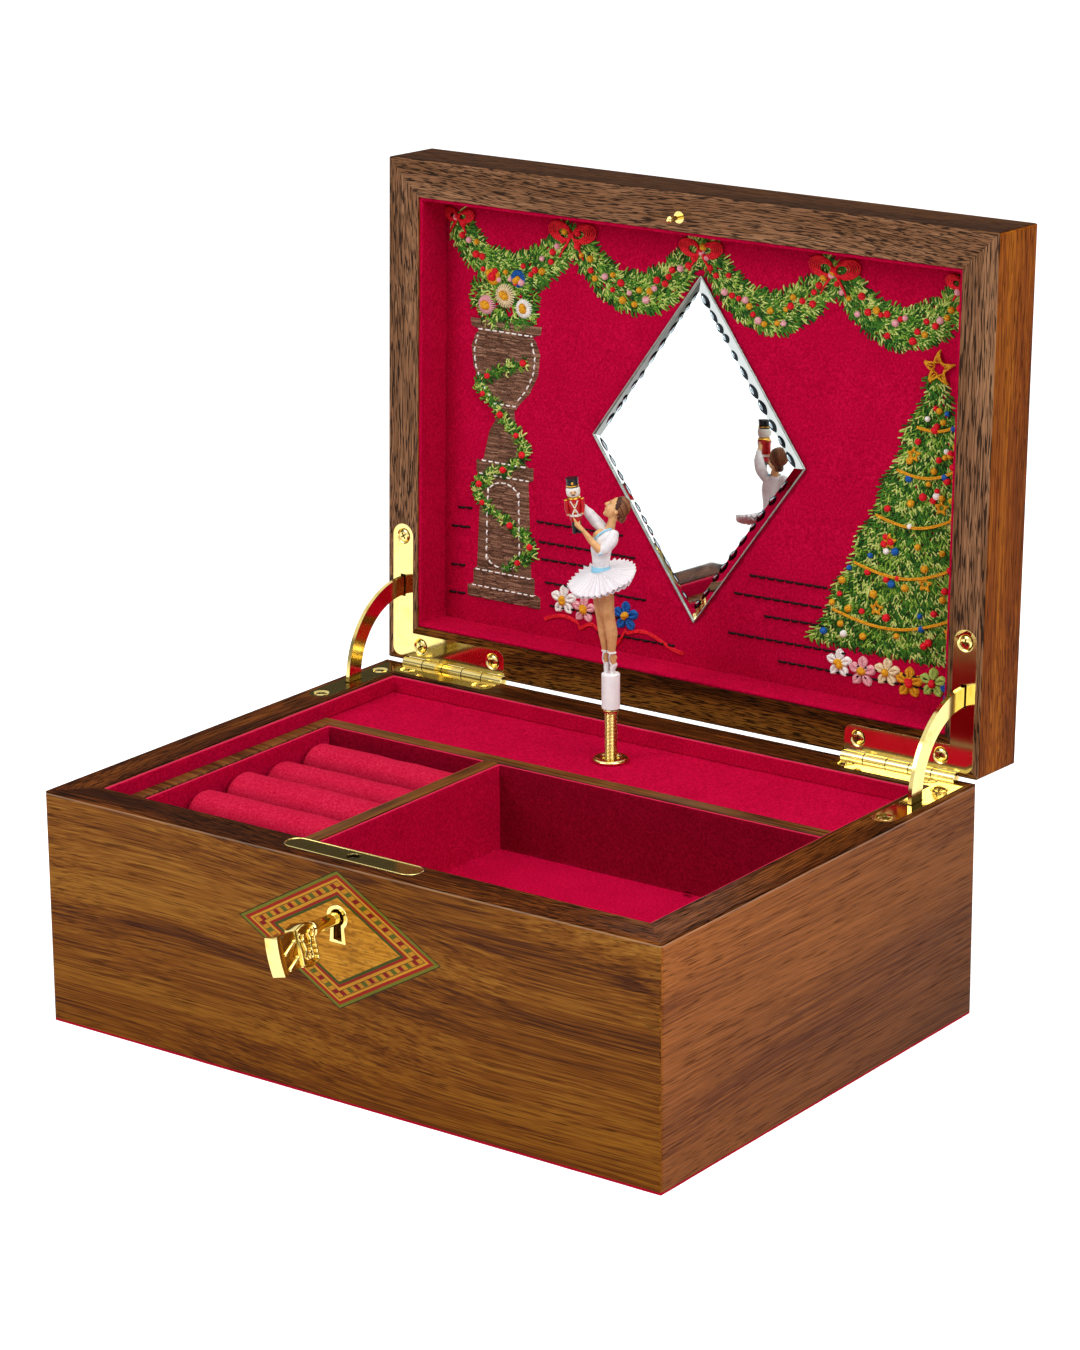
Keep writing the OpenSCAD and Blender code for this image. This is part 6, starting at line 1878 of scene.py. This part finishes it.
class BoxFinish(bpy.types.PropertyGroup):
    walnut_dark: colour_property("Walnut Dark", "Dark streaks of the front board", "#482410")
    walnut_mid: colour_property("Walnut", "Main colour of the front board", "#7D4917")
    walnut_light: colour_property("Walnut Light", "Pale bands of the front board", "#9D6A29")
    divider_dark: colour_property("Divider Dark", "Dark lines of the dividers' wood", "#3A1E0A")
    divider_light: colour_property("Divider Light", "Main colour of the dividers' wood", "#7E5020")
    brass: colour_property("Gilt Brass", "Hinges, lock plate, key and escutcheon", "#ECD68A")
    skin: colour_property("Skin", "Painted skin of the dancer", "#E0AE78")
    skin_shade: colour_property("Skin Shade", "Thinner paint on the dancer's skin", "#CB9560")
    suede: colour_property("Suede", "Main colour of the lining", "#B40434")
    suede_dark: colour_property("Suede Dark", "Nap brushed against the light", "#98022A")
    suede_light: colour_property("Suede Light", "Nap brushed towards the light", "#CC0E42")


class StageSettings(bpy.types.PropertyGroup):
    ambient: bpy.props.FloatProperty(name="Ambient", description="Light of the white room on the object",
                                     subtype="FACTOR", min=0.0, max=1.0, default=0.38)
    key_power: power_property("Key Light", "Soft lamp at the upper front left", 12.5)
    fill_power: power_property("Fill Light", "Soft lamp at the right", 14.0)
    top_power: power_property("Top Light", "Soft lamp overhead", 13.0)


def finish_values():
    """The box's finish, with its colours as hex."""
    group = bpy.context.scene.box_finish
    return SimpleNamespace(**{name: colour_of(getattr(group, name)) for name in BoxFinish.__annotations__})


def stage_values():
    return bpy.context.scene.box_stage


def operator(label, words, work, values=finish_values):
    """An Operator class that runs one builder."""
    name = work.__name__.replace("build_", "")

    def execute(self, context):
        work(values())
        return {"FINISHED"}

    return type("JEWELLERY_BOX_OT_" + name, (bpy.types.Operator,), {
        "bl_idname": "jewellery_box." + name, "bl_label": label, "bl_description": words, "__doc__": words,
        "bl_options": {"REGISTER", "UNDO"}, "execute": execute})


OPERATORS = [
    operator("Woodwork", "Gives the boards their sawn walnut, and the diamond its veneers", build_woodwork),
    operator("Dividers", "Builds the dividers with eased edges", build_dividers),
    operator("Metalwork", "Builds the hinges, lock plate and escutcheon, and finishes the other metal",
             build_metalwork),
    operator("Linings", "Lines the box, the compartments and the lid with suede", build_linings),
    operator("Ring Rolls", "Builds the five soft ring rolls", build_ring_rolls),
    operator("Eyelet", "Builds the rolled brass eyelet in the platform", build_eyelet),
    operator("Key", "Builds the cast brass key", build_key),
    operator("Spring", "Winds the dancer's spring and its ferrule", build_spring),
    operator("Legs", "Builds the dancer's legs, shoes and stand", build_legs),
    operator("Bodice", "Builds the dancer's blouse and ribbons", build_bodice),
    operator("Tutu", "Builds the dancer's pleated net", build_tutu),
    operator("Skin", "Builds the dancer's head, neck and arms", build_skin),
    operator("Hair", "Lays the dancer's hair in strands", build_hair),
    operator("Soldier", "Builds the toy soldier in the dancer's hands", build_soldier),
    operator("Panel", "Builds the padded panel in the lid", build_panel),
    operator("Embroidery", "Sews the panel's threads and knots", build_embroidery),
    operator("Mirror", "Grinds the cuts along the mirror's bevel", build_mirror),
    operator("Stage", "Sets the floor, the lights and the camera", build_stage, stage_values),
]


class JEWELLERY_BOX_PT_panel(bpy.types.Panel):
    """Lists the pieces of the box in the order they are made."""

    bl_label = "Jewellery Box"
    bl_space_type = "VIEW_3D"
    bl_region_type = "UI"
    bl_category = "Jewellery Box"

    def draw(self, context):
        for made in OPERATORS:
            self.layout.operator(made.bl_idname)
        for group in (context.scene.box_finish, context.scene.box_stage):
            for name in group.bl_rna.properties.keys():
                if name not in ("rna_type", "name"):
                    self.layout.prop(group, name)


CLASSES = [BoxFinish, StageSettings, *OPERATORS, JEWELLERY_BOX_PT_panel]


def register():
    for kind in CLASSES:
        bpy.utils.register_class(kind)
    bpy.types.Scene.box_finish = bpy.props.PointerProperty(type=BoxFinish)
    bpy.types.Scene.box_stage = bpy.props.PointerProperty(type=StageSettings)


def unregister():
    del bpy.types.Scene.box_stage
    del bpy.types.Scene.box_finish
    for kind in reversed(CLASSES):
        bpy.utils.unregister_class(kind)


def main():
    register()
    for made in OPERATORS:
        area, name = made.bl_idname.split(".")
        if getattr(getattr(bpy.ops, area), name)() != {"FINISHED"}:
            raise RuntimeError(f"{made.bl_label} wasn't made")


if __name__ == "__main__":
    main()
